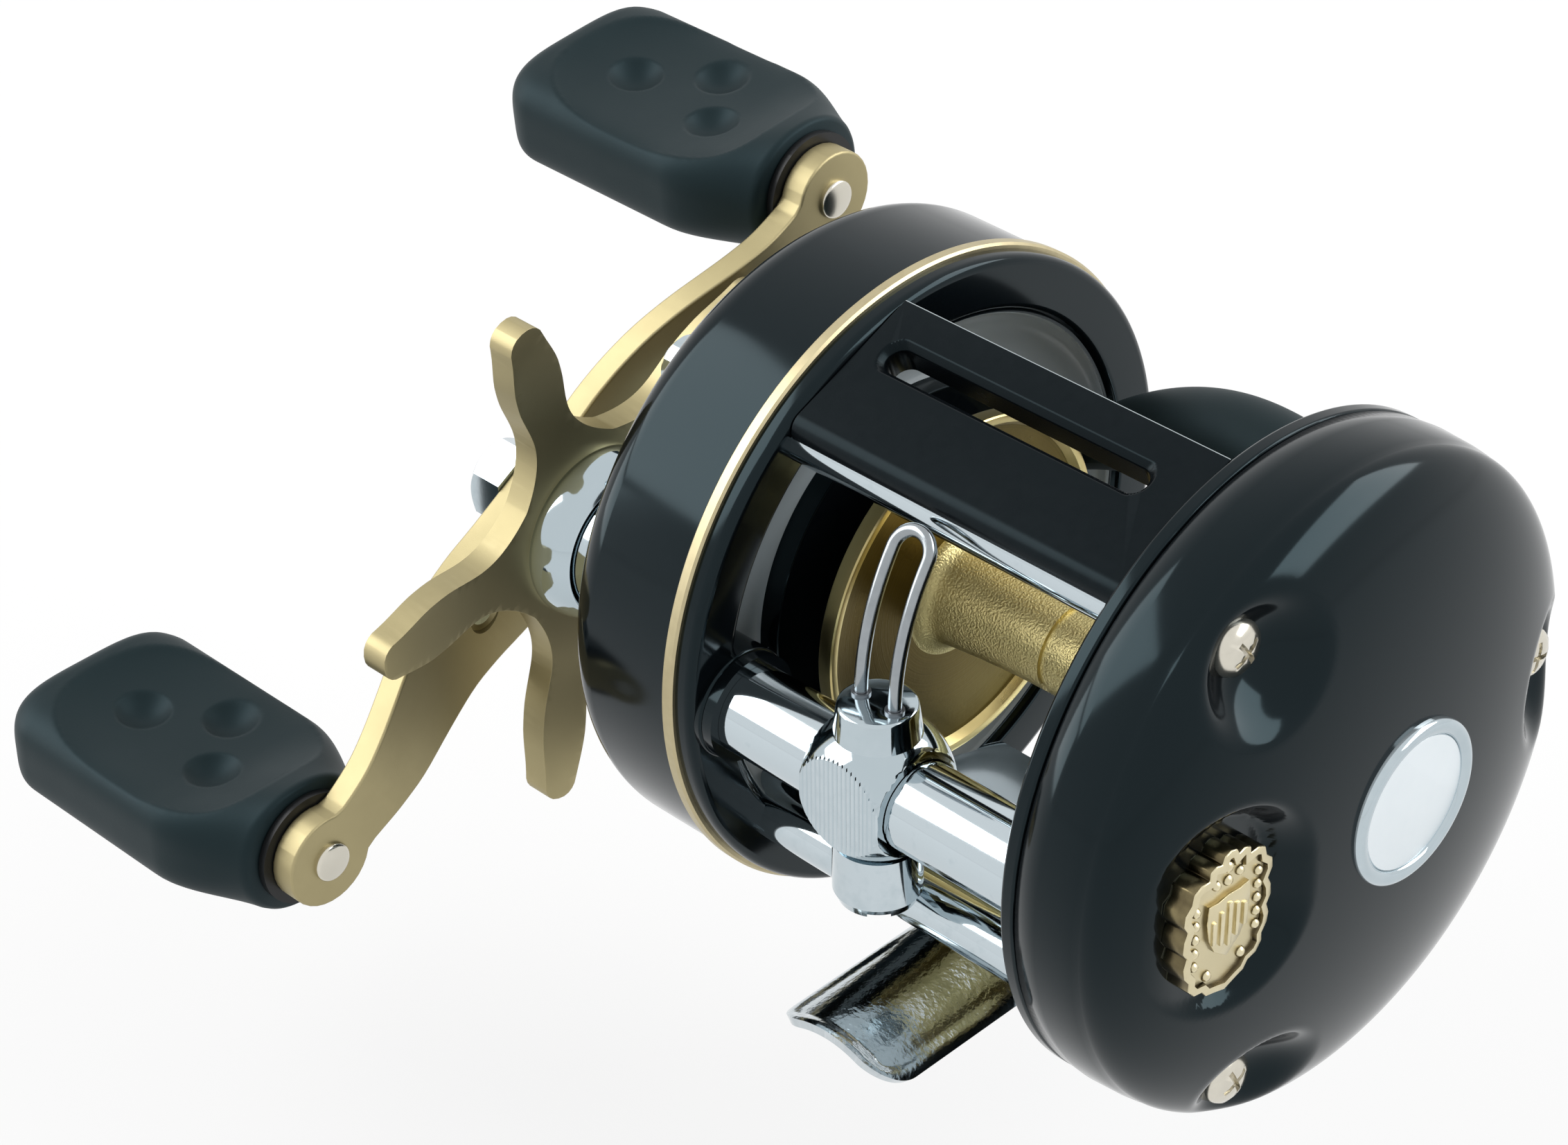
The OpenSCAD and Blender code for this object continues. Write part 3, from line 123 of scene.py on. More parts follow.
def close_up(obj, merge=0.03):
    settle(obj)
    bpy.ops.object.mode_set(mode="EDIT")
    bpy.ops.mesh.select_all(action="SELECT")
    bpy.ops.mesh.remove_doubles(threshold=merge * MM)
    bpy.ops.mesh.normals_make_consistent(inside=False)
    bpy.ops.object.mode_set(mode="OBJECT")


def dress(obj, body, material, replaces=(), smooth=40, flat=False):
    only(obj)
    bpy.ops.object.shade_smooth_by_angle(angle=math.radians(smooth))
    if flat:
        m = obj.modifiers.new("flat faces", "WEIGHTED_NORMAL")
        m.keep_sharp, m.weight = True, 100
        bpy.ops.object.modifier_apply(modifier="flat faces")
    obj.data.materials.clear()
    obj.data.materials.append(material)
    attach(obj, body)
    if replaces:
        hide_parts(*replaces)
    print(obj.name, len(obj.data.polygons), "faces, on", body)


def second_finish(obj, material, choose):
    obj.data.materials.append(material)
    for f in obj.data.polygons:
        if choose(f.center / MM - MID, f.normal):
            f.material_index = 1


def cut(obj, *cutters):
    for cutter in cutters:
        only(obj)
        m = obj.modifiers.new("cut", "BOOLEAN")
        m.operation, m.solver, m.object = "DIFFERENCE", "EXACT", cutter
        bpy.ops.object.modifier_apply(modifier="cut")
        bpy.data.objects.remove(cutter)


def joined(name, *parts):
    only(parts[0])
    for p in parts[1:]:
        p.select_set(True)
    bpy.ops.object.join()
    parts[0].name = name
    return parts[0]


# %% [markdown]
# ## Flat outlines
# Stamped and milled pieces start from an outline. A circle with one vertex for each corner is added, its
# vertices are moved onto the outline in the plane across X, and the face is filled and extruded. A few measured
# points are enough for a long curve, because curve_through() draws a smooth line through them.

# %% Outline helpers
def curve_through(points, steps):
    ends = [points[0]] + list(points) + [points[-1]]
    path = []
    for a, b, c, d in zip(ends, ends[1:], ends[2:], ends[3:]):
        for i in range(steps):
            t = i / steps
            path.append(tuple(0.5 * (2 * q + (r - p) * t + (2 * p - 5 * q + 4 * r - e) * t * t +
                                     (3 * q - p - 3 * r + e) * t ** 3) for p, q, r, e in zip(a, b, c, d)))
    return path + [points[-1]]


def outlined(name, points, x0, x1):
    nothing_selected()
    bpy.ops.mesh.primitive_circle_add(vertices=len(points), radius=MM, location=(0, 0, 0))
    obj = bpy.context.object
    obj.name = name
    for v, (y, z) in zip(obj.data.vertices, points):
        v.co = spot(x0, y, z)
    bpy.ops.object.mode_set(mode="EDIT")
    bpy.ops.mesh.select_all(action="SELECT")
    bpy.ops.mesh.edge_face_add()
    bpy.ops.mesh.extrude_region_move(TRANSFORM_OT_translate={"value": ((x1 - x0) * MM, 0, 0)})
    bpy.ops.object.mode_set(mode="OBJECT")
    close_up(obj)
    return obj


# %% [markdown]
# ## Shader groups
# Three effects serve many finishes, so each is a node group with its own sliders. fine_grain breaks up a
# surface with two noises. worn_edge finds corners by their pointiness. lathe_lines draws fine rings about an
# axis along X, as a cutting tool leaves them.

# %% Group: fine grain
def new_group(name, inputs, outputs):
    g = bpy.data.node_groups.new(name, "ShaderNodeTree")
    for label, kind, value in inputs:
        s = g.interface.new_socket(label, in_out="INPUT", socket_type=kind)
        if value is not None:
            s.default_value = value
    for label, kind in outputs:
        g.interface.new_socket(label, in_out="OUTPUT", socket_type=kind)
    return g, g.nodes.new("NodeGroupInput"), g.nodes.new("NodeGroupOutput")


def math_node(tree, operation, a, b, clamp=False):
    n = tree.nodes.new("ShaderNodeMath")
    n.operation, n.use_clamp = operation, clamp
    for i, v in enumerate((a, b)):
        if isinstance(v, (int, float)):
            n.inputs[i].default_value = v
        elif v is not None:
            tree.links.new(v, n.inputs[i])
    return n.outputs[0]


F, V = "NodeSocketFloat", "NodeSocketVector"
grain, gi, go = new_group("fine_grain", [("Scale", F, 3000.0), ("Roughness", F, 0.3), ("Variation", F, 0.05),
                                         ("Depth", F, 1.0)], [("Roughness", F), ("Height", F), ("Cloud", F)])
co = grain.nodes.new("ShaderNodeTexCoord")
fine = grain.nodes.new("ShaderNodeTexNoise")
cloud = grain.nodes.new("ShaderNodeTexNoise")
for n in (fine, cloud):
    grain.links.new(co.outputs["Object"], n.inputs["Vector"])
grain.links.new(gi.outputs["Scale"], fine.inputs["Scale"])
cloud.inputs["Scale"].default_value = 120
cloud.inputs["Detail"].default_value = 4
fine.inputs["Detail"].default_value = 3
spread = math_node(grain, "SUBTRACT", cloud.outputs["Fac"], 0.5)
spread = math_node(grain, "MULTIPLY", spread, gi.outputs["Variation"])
spread = math_node(grain, "MULTIPLY", spread, 4.0)
grain.links.new(math_node(grain, "ADD", gi.outputs["Roughness"], spread, clamp=True), go.inputs["Roughness"])
grain.links.new(math_node(grain, "MULTIPLY", fine.outputs["Fac"], gi.outputs["Depth"]), go.inputs["Height"])
grain.links.new(cloud.outputs["Fac"], go.inputs["Cloud"])
print("group", grain.name)

# %% Group: worn edge
worn, wi, wo = new_group("worn_edge", [("Reach", F, 0.04), ("Strength", F, 0.5)], [("Mask", F)])
geo = worn.nodes.new("ShaderNodeNewGeometry")
over = math_node(worn, "SUBTRACT", geo.outputs["Pointiness"], 0.5)
over = math_node(worn, "DIVIDE", over, wi.outputs["Reach"])
patch = worn.nodes.new("ShaderNodeTexNoise")
patch.inputs["Scale"].default_value = 900
patch_co = worn.nodes.new("ShaderNodeTexCoord")
worn.links.new(patch_co.outputs["Object"], patch.inputs["Vector"])
over = math_node(worn, "MULTIPLY", over, patch.outputs["Fac"], clamp=True)
worn.links.new(math_node(worn, "MULTIPLY", over, wi.outputs["Strength"], clamp=True), wo.inputs["Mask"])
print("group", worn.name)

# %% Group: lathe lines
lathe, li, lo = new_group("lathe_lines", [("Centre", V, (0, 0, 0)), ("Pitch", F, 0.1), ("Depth", F, 1.0)],
                          [("Height", F), ("Shade", F)])
co = lathe.nodes.new("ShaderNodeTexCoord")
off = lathe.nodes.new("ShaderNodeVectorMath")
off.operation = "SUBTRACT"
lathe.links.new(co.outputs["Object"], off.inputs[0])
lathe.links.new(li.outputs["Centre"], off.inputs[1])
split = lathe.nodes.new("ShaderNodeSeparateXYZ")
lathe.links.new(off.outputs[0], split.inputs[0])
y2 = math_node(lathe, "MULTIPLY", split.outputs["Y"], split.outputs["Y"])
z2 = math_node(lathe, "MULTIPLY", split.outputs["Z"], split.outputs["Z"])
radius = math_node(lathe, "SQRT", math_node(lathe, "ADD", y2, z2), None)
along = math_node(lathe, "ADD", radius, split.outputs["X"])
steps = math_node(lathe, "DIVIDE", along, math_node(lathe, "MULTIPLY", li.outputs["Pitch"], MM))
ringed = lathe.nodes.new("ShaderNodeTexNoise")
ringed.noise_dimensions = "1D"
ringed.inputs["Detail"].default_value = 4
ringed.inputs["Scale"].default_value = 1.0
lathe.links.new(steps, ringed.inputs["W"])
lathe.links.new(math_node(lathe, "MULTIPLY", ringed.outputs["Fac"], li.outputs["Depth"]), lo.inputs["Height"])
lathe.links.new(ringed.outputs["Fac"], lo.inputs["Shade"])
print("group", lathe.name)

# %% [markdown]
# ## Finishes
# One function lays the groups into a Principled shader. What is the same all over a surface is set on the
# shader's own socket. Only what changes over the surface comes through a link.

# %% Finish builder
def colour(hex_code):
    def linear(c):
        return c / 12.92 if c <= 0.04045 else ((c + 0.055) / 1.055) ** 2.4
    return tuple(linear(int(hex_code[i:i + 2], 16) / 255) for i in (1, 3, 5)) + (1.0,)


def finish(name, base, edge=None, rough=0.3, vary=0.03, metal=0.0, grain_scale=3000.0, bump=0.02, depth=0.00002,
           wear=0.5, reach=0.05, tint=0.06, lines=None, specular=0.5, gloss="#ffffff"):
    mat = bpy.data.materials.new(name)
    mat.use_nodes = True
    tree = mat.node_tree
    bsdf = tree.nodes["Principled BSDF"]
    bsdf.inputs["Metallic"].default_value = metal
    bsdf.inputs["Specular IOR Level"].default_value = specular
    bsdf.inputs["Specular Tint"].default_value = colour(gloss)
    g = tree.nodes.new("ShaderNodeGroup")
    g.node_tree = grain
    for label, value in (("Scale", grain_scale), ("Roughness", rough), ("Variation", vary), ("Depth", 1.0)):
        g.inputs[label].default_value = value
    w = tree.nodes.new("ShaderNodeGroup")
    w.node_tree = worn
    w.inputs["Reach"].default_value, w.inputs["Strength"].default_value = reach, wear
    shade = tree.nodes.new("ShaderNodeMix")
    shade.data_type = "RGBA"
    rgb = colour(base)
    shade.inputs["A"].default_value = tuple(min(1, c * (1 + tint)) for c in rgb[:3]) + (1,)
    shade.inputs["B"].default_value = tuple(c * (1 - tint) for c in rgb[:3]) + (1,)
    mixed = g.outputs["Cloud"]
    height = g.outputs["Height"]
    if lines:
        centre, pitch, amount = lines
        r = tree.nodes.new("ShaderNodeGroup")
        r.node_tree = lathe
        r.inputs["Centre"].default_value = centre
        r.inputs["Pitch"].default_value, r.inputs["Depth"].default_value = pitch, amount
        height = math_node(tree, "ADD", height, r.outputs["Height"])
        mixed = math_node(tree, "MULTIPLY", math_node(tree, "ADD", mixed, r.outputs["Shade"]), 0.5)
    tree.links.new(mixed, shade.inputs["Factor"])
    rim = tree.nodes.new("ShaderNodeMix")
    rim.data_type = "RGBA"
    rim.inputs["B"].default_value = colour(edge or base)
    tree.links.new(w.outputs["Mask"], rim.inputs["Factor"])
    tree.links.new(shade.outputs["Result"], rim.inputs["A"])
    tree.links.new(rim.outputs["Result"], bsdf.inputs["Base Color"])
    tree.links.new(g.outputs["Roughness"], bsdf.inputs["Roughness"])
    b = tree.nodes.new("ShaderNodeBump")
    b.inputs["Strength"].default_value = bump
    b.inputs["Distance"].default_value = depth
    tree.links.new(height, b.inputs["Height"])
    tree.links.new(b.outputs["Normal"], bsdf.inputs["Normal"])
    return mat


AXIS = tuple(spot(0))

# %% Finishes of this reel
gloss_black = finish("gloss_black", "#05080b", "#1a2024", rough=0.12, vary=0.015, wear=0.15, bump=0.02,
                     specular=0.26, gloss="#cef3ff")
satin_black = finish("satin_black", "#06090c", "#24282b", rough=0.26, vary=0.03, wear=0.25, bump=0.04,
                     specular=0.13, gloss="#cef3ff")
bar_black = finish("bar_black", "#1a2325", "#2d3638", rough=0.55, vary=0.05, wear=0.2, bump=0.2,
                   grain_scale=5000, specular=0.22, gloss="#cef3ff")
# Light grey for the bowl inside the gear-side ring: a painted reflection, which also lifts it out of the
# plate's shade.
bowl_painted_reflection_grey = finish("bowl_painted_reflection_grey", "#a0a9ad", "#b8c0c4", rough=0.2, vary=0.04, bump=0.04, wear=0.3, specular=0.6)
# Bright grey metal for the top plate's rear bevel: a painted highlight on the satin black plate.
edge_painted_highlight_grey = finish("edge_painted_highlight_grey", "#aeb8bb", "#cdd5d8", rough=0.2, vary=0.04, metal=1.0, bump=0.03)
blast_gold = finish("blast_gold", "#aba07a", "#c9bc94", rough=0.5, vary=0.04, metal=1.0, grain_scale=9000,
                    bump=0.3, wear=0.3, reach=0.08)
trim_gold = finish("trim_gold", "#b3a785", "#cfc4a0", rough=0.38, vary=0.03, metal=1.0, lines=(AXIS, 0.12, 1.0),
                   bump=0.12)
spool_gold = finish("spool_gold", "#c6b47c", "#e6d8a6", rough=0.3, vary=0.04, metal=1.0, bump=0.2, tint=0.1,
                    lines=(AXIS, 0.1, 1.5), wear=0.2)
# Dark gold for the flat faces of the spool flanges: a painted reflection of the dark inside of the reel.
flange_painted_reflection_gold = finish("flange_painted_reflection_gold", "#56481c", "#8a7a40", rough=0.3, vary=0.05, metal=1.0, bump=0.3, tint=0.25,
                     lines=(AXIS, 0.16, 1.5), wear=0.2)
arbor_gold = finish("arbor_gold", "#dccd92", "#ece0b0", rough=0.34, vary=0.2, metal=1.0, bump=1.0, tint=0.3,
                    grain_scale=5200, depth=0.00009, wear=0.1)
plaque_gold = finish("plaque_gold", "#cfc4a0", "#ece3c4", rough=0.32, vary=0.08, metal=1.0, bump=0.4, tint=0.1,
                     grain_scale=2500)
plaque_edge = finish("plaque_edge", "#4d4432", "#a3966f", rough=0.25, vary=0.06, metal=1.0, bump=0.3, wear=0.7)
chrome = finish("chrome", "#b4c1c7", "#dfe6ea", rough=0.07, vary=0.02, metal=1.0, tint=0.02, bump=0.03,
                wear=0.3)
foot_chrome = finish("foot_chrome", "#bcc5c9", "#e2e7ea", rough=0.12, vary=0.06, metal=1.0, tint=0.05,
                     grain_scale=1800, bump=0.35, depth=0.00012)
nickel = finish("nickel", "#cdc9bd", "#ece7d8", rough=0.22, vary=0.05, metal=1.0, tint=0.05, bump=0.1)
soft_rubber = finish("soft_rubber", "#162022", "#283134", rough=0.5, vary=0.05, grain_scale=5000, bump=0.3,
                     wear=0.2, specular=0.24, gloss="#c4f0ff")
collar_rubber = finish("collar_rubber", "#0a0b0c", "#202224", rough=0.3, vary=0.05, bump=0.1, specular=0.3)
steel = finish("steel", "#a5a7aa", "#d2d4d6", rough=0.25, vary=0.06, metal=1.0, bump=0.1)
brass = finish("brass", "#b6934f", "#dcc080", rough=0.25, vary=0.06, metal=1.0, bump=0.15)
grey_alloy = finish("grey_alloy", "#6f7276", "#a0a3a7", rough=0.35, vary=0.05, metal=1.0, bump=0.15)
medal_silver = finish("medal_silver", "#e6eef2", "#f4f7f8", rough=0.36, vary=0.04, metal=1.0, bump=0.35,
                      grain_scale=6000)
white_polymer = finish("white_polymer", "#d9d5c6", "#efece2", rough=0.45, vary=0.05)
dark_fibre = finish("dark_fibre", "#4d4840", "#6d675c", rough=0.6, vary=0.05, bump=0.3)
wire_steel = finish("wire_steel", "#8f9599", "#c4c9cc", rough=0.2, vary=0.05, metal=1.0, bump=0.1)
print("finishes:", len(bpy.data.materials))

# %% Finishes of the carried-over solids
NODE_FINISH = {
    gloss_black: "gear_ring palm_ring gear_cover palm_cover wind_collar",
    satin_black: "top_plate", bar_black: "thumb_bar",
    trim_gold: "trim_ring", blast_gold: "handle_arm star_drag", plaque_gold: "plaque", spool_gold: "spool",
    chrome: "pillar_upper pillar_front pillar_rear foot_plate drive_housing medallion_bezel wind_tube "
            "star_collar handle_nut guide_carriage pawl_cap tension_cap thumb_screws lock_screw",
    foot_chrome: "reel_foot", nickel: "palm_screws knob_pins", soft_rubber: "knob_upper knob_lower",
    collar_rubber: "knob_collars", brass: "main_gear pinion",
    grey_alloy: "foot_rivets brake_plate guide_ferrules", medal_silver: "medallion_disc",
    white_polymer: "wind_cog worm_gear brake_blocks", dark_fibre: "drag_washers", wire_steel: "guide_wire",
    steel: "reverse_bearing clutch_posts spool_bearings drive_shaft reverse_sleeve handle_spacer spool_shaft "
           "clutch_yoke worm_shaft worm_thread pawl",
}
for material, names in NODE_FINISH.items():
    for name in names.split():
        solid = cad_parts[name]
        solid.data.materials.clear()
        solid.data.materials.append(material)
print("finished solids:", sum(len(n.split()) for n in NODE_FINISH.values()), "of", len(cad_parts))

# %% [markdown]
# ## Side frames and covers
# The two rings are black die castings. The bowl inside the gear-side ring is coloured light grey, a painted
# reflection that also lifts it out of the shade under the plate. Their profiles are closed loops, extruded
# all the way round and welded where they meet. Each rim is rounded a little to catch the light.

# %% Rings
gear_ring = turned("ring_gear_side", [(-15.3, 27.7), (-15.42, 28.15), (-15.75, 28.42), (-16.2, 28.5),
                                      (-17.09, 28.5), (-17.09, 28.2), (-18.3, 28.2), (-18.3, 27.28),
                                      (-21.2, 27.28), (-21.2, 3.3), (-17.2, 3.3), (-17.2, 16.4),
                                      (-17.35, 16.6)] +
                   curve_through([(-19.1, 16.75), (-19.35, 17.5), (-19.25, 18.8), (-18.8, 20.3), (-18.0, 21.7),
                                  (-17.0, 22.7), (-16.1, 23.2)], 4) +
                   [(-15.95, 23.35), (-15.98, 23.5), (-15.95, 23.65), (-15.7, 23.85), (-15.42, 24.05),
                    (-15.3, 24.4)], count=192, ring=True)
close_up(gear_ring, 0.004)
lug = turned("lug", [(-20.0, 4.9), (-14.72, 4.9), (-14.72, 3.9), (-16, 3.9)], *WIND, count=64)
close_up(lug)
bevel(lug, 0.25)
dress(joined("ring_gear_side", gear_ring, lug), "frame", gloss_black, ["gear_ring"], flat=True)
# The bowl's faces take the painted reflection grey.
second_finish(gear_ring, bowl_painted_reflection_grey,
              lambda p, n: -19.5 < p.x < -15.95 and 16.7 < math.hypot(p.y, p.z) < 23.3 and n.x > 0)
washer = turned("guide_washer", [(-14.7, 3.72), (-14.7, 4.45), (-14.45, 4.6), (-14.2, 4.45), (-14.2, 3.72)],
                *WIND, count=64, ring=True)
close_up(washer)
dress(washer, "frame", white_polymer)

palm_ring = turned("ring_palm_side", [(18.3, 28.7), (18.6, 29.0), (19.6, 29.0), (19.78, 28.8), (19.78, 14.0),
                                      (15.5, 14.0), (15.5, 21.0), (18.3, 21.0)], count=192, ring=True)
close_up(palm_ring, 0.005)
bevel(palm_ring, 0.15)
dress(palm_ring, "frame", gloss_black, ["palm_ring"], flat=True)

trim = turned("trim_band", [(-17.1, 28.22), (-17.1, 28.8), (-17.3, 29.0), (-18.1, 29.0), (-18.29, 28.8),
                            (-18.29, 28.22)], count=192, ring=True)
close_up(trim, 0.005)
dress(trim, "frame", trim_gold, ["trim_ring"])

# %% [markdown]
# The gear-side cover is a deep drawn cup with a full, round shoulder. Fifteen steps round the shoulder keep its
# highlight smooth.

# %% Gear-side cover
shoulder = [(-30.4 + 3.3 * (1 - math.sin(t)), 28.6 - 3.3 * (1 - math.cos(t)))
            for t in (math.radians(6 * i) for i in range(16))]
cover = turned("cover_gear_side", [(-18.3, 27.3), (-18.3, 28.45), (-18.45, 28.6)] + shoulder +
               [(-30.4, 6.2), (-34.4, 5.6), (-34.4, 1.6), (-31.0, 1.6), (-29.1, 6.0), (-29.1, 24.0),
                (-27.0, 27.0), (-26.0, 27.3)], count=192, ring=True)
close_up(cover, 0.005)
dress(cover, "frame", gloss_black, ["gear_cover"])

# %% [markdown]
# ## Palm-side cover
# This cover is a low dome with a scoop at each screw and an oval well. All of these are one moulded surface
# that blends, so it isn't cut: the dome gets close rings, and each vertex is lowered to the smooth minimum of
# the dome and the scoops.

# %% Palm-side cover
DOME_R, DOME_BASE, DOME_RISE = 28.7, 26.0, 7.8
SCREW_CIRCLE, SCOOP_FLOOR = 25.0, 27.15
SCREW_SPOTS = [around(0, 0, SCREW_CIRCLE, a) for a in (123, 0.4, -118.3)]
WELL, WELL_FLOOR = (-18.9, 0.8), 30.2


def dome_x(r):
    t = min(1.0, r / DOME_R)
    a = math.acos(t ** (1 / 0.9))
    return DOME_BASE + DOME_RISE * math.sin(a) ** 1.02


def soft_min(a, b, k):
    h = max(0.0, k - abs(a - b)) / k
    return min(a, b) - h * h * k * 0.25


def palm_face(y, z):
    x = dome_x(math.hypot(y, z))
    for sy, sz in SCREW_SPOTS:
        inward = (y * sy + z * sz) / SCREW_CIRCLE - SCREW_CIRCLE
        across = (y * sz - z * sy) / SCREW_CIRCLE
        d = math.hypot(inward * (1.22 if inward < 0 else 1.0), across * 0.98)
        x = soft_min(x, SCOOP_FLOOR + 0.125 * max(0.0, d - 1.2) ** 2 + 0.06 * d, 1.5)
    u, v = (y - WELL[0]) / 7.5, max(0.0, abs(z - WELL[1]) - 1.9) / 7.5
    d = math.hypot(u, v)
    well = WELL_FLOOR + 11.0 * max(0.0, d - 0.86)
    return soft_min(x, well, 0.7)


rings = [DOME_R * math.sin(math.radians(i)) for i in range(90, 0, -1)]
palm = turned("cover_palm_side", [(19.82, 27.4), (19.82, 28.75), (19.95, 28.95), (22.0, 29.1), (24.5, 28.95),
                                  (25.4, 28.82), (DOME_BASE, DOME_R)] +
              [(dome_x(r), r) for r in rings[1:]] + [(DOME_BASE + DOME_RISE, 0.0)], count=288)
close_up(palm, 0.005)
for v in palm.data.vertices:
    p = v.co / MM - MID
    if p.x > DOME_BASE - 0.1:
        v.co.x = (palm_face(p.y, p.z) + MID.x) * MM
dress(palm, "frame", gloss_black, ["palm_cover"], smooth=60)

# %% [markdown]
# ## Cover screws, medallion and plaque
# The cover screws are nickel-plated pan heads with a cross recess. A boolean cut needs a closed mesh, so each
# head is closed underneath as well. The medallion is a bright bezel round a brushed disc, left bare.

# %% Cover screws
for i, (sy, sz) in enumerate(SCREW_SPOTS):
    head = turned(f"cover_screw_{i}", [(26.9, 0.0), (26.9, 1.2), (27.05, 2.35), (27.7, 2.35), (28.15, 2.12),
                                       (28.5, 1.6), (28.7, 0.85), (28.72, 0.0)], sy, sz, count=48)
    close_up(head)
    bars = []
    for t in (35 + 40 * i, 125 + 40 * i):
        nothing_selected()
        bpy.ops.mesh.primitive_cube_add(size=MM, location=spot(28.6, sy, sz), rotation=(math.radians(t), 0, 0))
        bar = bpy.context.object
        bar.scale = (1.0, 2.7, 0.46)
        bars.append(bar)
    cut(head, *bars)
    bevel(head, 0.06, 50, 2)
    dress(head, "frame", nickel, ["palm_screws"] if i == 0 else ())

# %% Medallion
MEDAL = (1.7, 1.3)
bezel = turned("medallion_bezel_ring", [(32.5, 5.9), (32.5, 7.2), (33.8, 7.2), (34.1, 7.1), (34.27, 6.85),
                                        (34.3, 6.55), (34.22, 6.2), (34.08, 5.98), (33.9, 5.9)],
               *MEDAL, count=96, ring=True)
close_up(bezel)
dress(bezel, "frame", chrome, ["medallion_bezel"], smooth=60)
disc = turned("medallion_face", [(32.5, 5.88), (33.85, 5.88), (33.95, 5.8), (34.0, 5.6), (34.04, 0.0)], *MEDAL,
              count=96)
close_up(disc)
dress(disc, "frame", medal_silver, ["medallion_disc"], smooth=30)

# %% [markdown]
# The plaque is cast gold metal with a wavy edge, a stepped head and a shallow relief. One outline is extruded
# for the body. Insets on its face make the border, and small bosses and ribs are laid inside it.

# %% Plaque
half = [(0.0, 6.8), (0.7, 6.6), (0.95, 5.95), (1.6, 6.2), (2.3, 5.95), (2.35, 5.2), (3.3, 5.3), (4.1, 4.9),
        (4.3, 4.0), (5.0, 3.35), (5.1, 2.4), (4.65, 1.6), (5.0, 0.85), (5.1, -0.2), (4.65, -0.95),
        (4.95, -1.85), (4.8, -2.8), (4.25, -3.55), (4.3, -4.3), (3.65, -5.1), (2.7, -5.3), (2.2, -5.95),
        (1.25, -6.2), (0.0, -6.6)]


def on_plaque(points):
    other_side = [(-y, z) for y, z in points[-2:0:-1]]
    return [(WELL[0] + y, WELL[1] + z) for y, z in list(points) + other_side]


tablet = outlined("plaque_tablet", on_plaque(half), 30.1, 32.4)
bevel(tablet, 0.14, 50, 2)
only(tablet)
bpy.ops.object.mode_set(mode="EDIT")
bpy.ops.mesh.select_all(action="DESELECT")
bpy.ops.mesh.select_mode(type="FACE")
bpy.ops.object.mode_set(mode="OBJECT")
front = max(tablet.data.polygons, key=lambda f: f.area * (f.normal.x > 0.9))
front.select = True
bpy.ops.object.mode_set(mode="EDIT")
bpy.ops.mesh.inset(thickness=0.5 * MM, depth=0.0)
bpy.ops.mesh.inset(thickness=0.12 * MM, depth=-0.35 * MM)
bpy.ops.mesh.select_mode(type="VERT")
bpy.ops.object.mode_set(mode="OBJECT")
shield = [(0, 2.7), (1.25, 2.55), (2.35, 2.7), (2.5, 1.1), (2.2, -0.65), (1.5, -2.05), (0, -3.25)]
relief = [outlined("relief_shield", on_plaque(shield), 31.9, 32.4)]
for i in range(5):
    y, low = WELL[0] + (i - 2) * 0.9, WELL[1] - 2.1 + 0.5 * abs(i - 2)
    relief.append(outlined("relief_rib", [(y - 0.22, low), (y + 0.22, low), (y + 0.22, low + 4.1 - abs(i - 2)),
                                          (y - 0.22, low + 4.1 - abs(i - 2))], 32.3, 32.62))
bosses = [(s * 3.6, z, 0.46) for s in (-1, 1) for z in (2.8, 1.5, 0.2, -1.1, -2.4)]
bosses += [(s * 2.0, -4.2, 0.5) for s in (-1, 1)]
bosses += [(0, 5.2, 0.55), (-1.35, 4.1, 0.45), (1.35, 4.1, 0.45), (0, 3.9, 0.5)]
for y, z, r in bosses:
    relief.append(turned("relief_boss", [(31.8, r), (32.15, r * 0.92), (32.38, r * 0.6), (32.48, 0.0)],
                         WELL[0] + y, WELL[1] + z, count=20))
    close_up(relief[-1], 0.01)
for piece in relief[:6]:
    bevel(piece, 0.08, 40, 2)
tablet = joined("plaque_tablet", tablet, *relief)
dress(tablet, "frame", plaque_gold, ["plaque"])
second_finish(tablet, plaque_edge, lambda p, n: abs(n.x) < 0.4 and p.x < 32.25)

# %% [markdown]
# ## Top plate
# The plate is one flat stamping with a rolled front lip and a long slot. It is outlined from the side and
# extruded along the reel, and a stadium cutter with a flared mouth opens the slot. The bevel along its rear
# edge is coloured bright grey metal, a painted highlight along that edge.

# %% Top plate
TILT = math.radians(22.2)
PLATE_BACK = (-3.5, 28.6)


def on_plate(down, lift):
    return (PLATE_BACK[0] - down * math.cos(TILT) - lift * math.sin(TILT),
            PLATE_BACK[1] - down * math.sin(TILT) + lift * math.cos(TILT))


THICK = 3.0
flat_part = ((0, 0), (0, -THICK), (9.6, -THICK), (11.4, -1.0), (13.3, -1.0))
side_line = [on_plate(down, lift) for down, lift in flat_part]
side_line += [on_plate(13.3 + 0.5 * math.sin(math.radians(a)), -1.5 + 0.5 * math.cos(math.radians(a)))
              for a in (30, 60, 90, 110)]
side_line += [on_plate(13.3 + 1.5 * math.sin(math.radians(a)), -1.5 + 1.5 * math.cos(math.radians(a)))
              for a in (110, 95, 80, 65, 50, 35, 20, 10, 0)]
plate = outlined("plate_top", side_line, -15.28, 18.28)
nothing_selected()
SLOT_HALF, SLOT_R = 12.1, 1.25
stadium = []
for s, base in ((1, -90), (-1, 90)):
    stadium += [around(s * SLOT_HALF, 0, SLOT_R, base + 10 * k) for k in range(19)]
bpy.ops.mesh.primitive_circle_add(vertices=len(stadium), radius=MM, location=(0, 0, 0))
slot = bpy.context.object
for v, (a, b) in zip(slot.data.vertices, stadium):
    v.co = (a * MM, b * MM, -4 * MM)
bpy.ops.object.mode_set(mode="EDIT")
bpy.ops.mesh.select_all(action="SELECT")
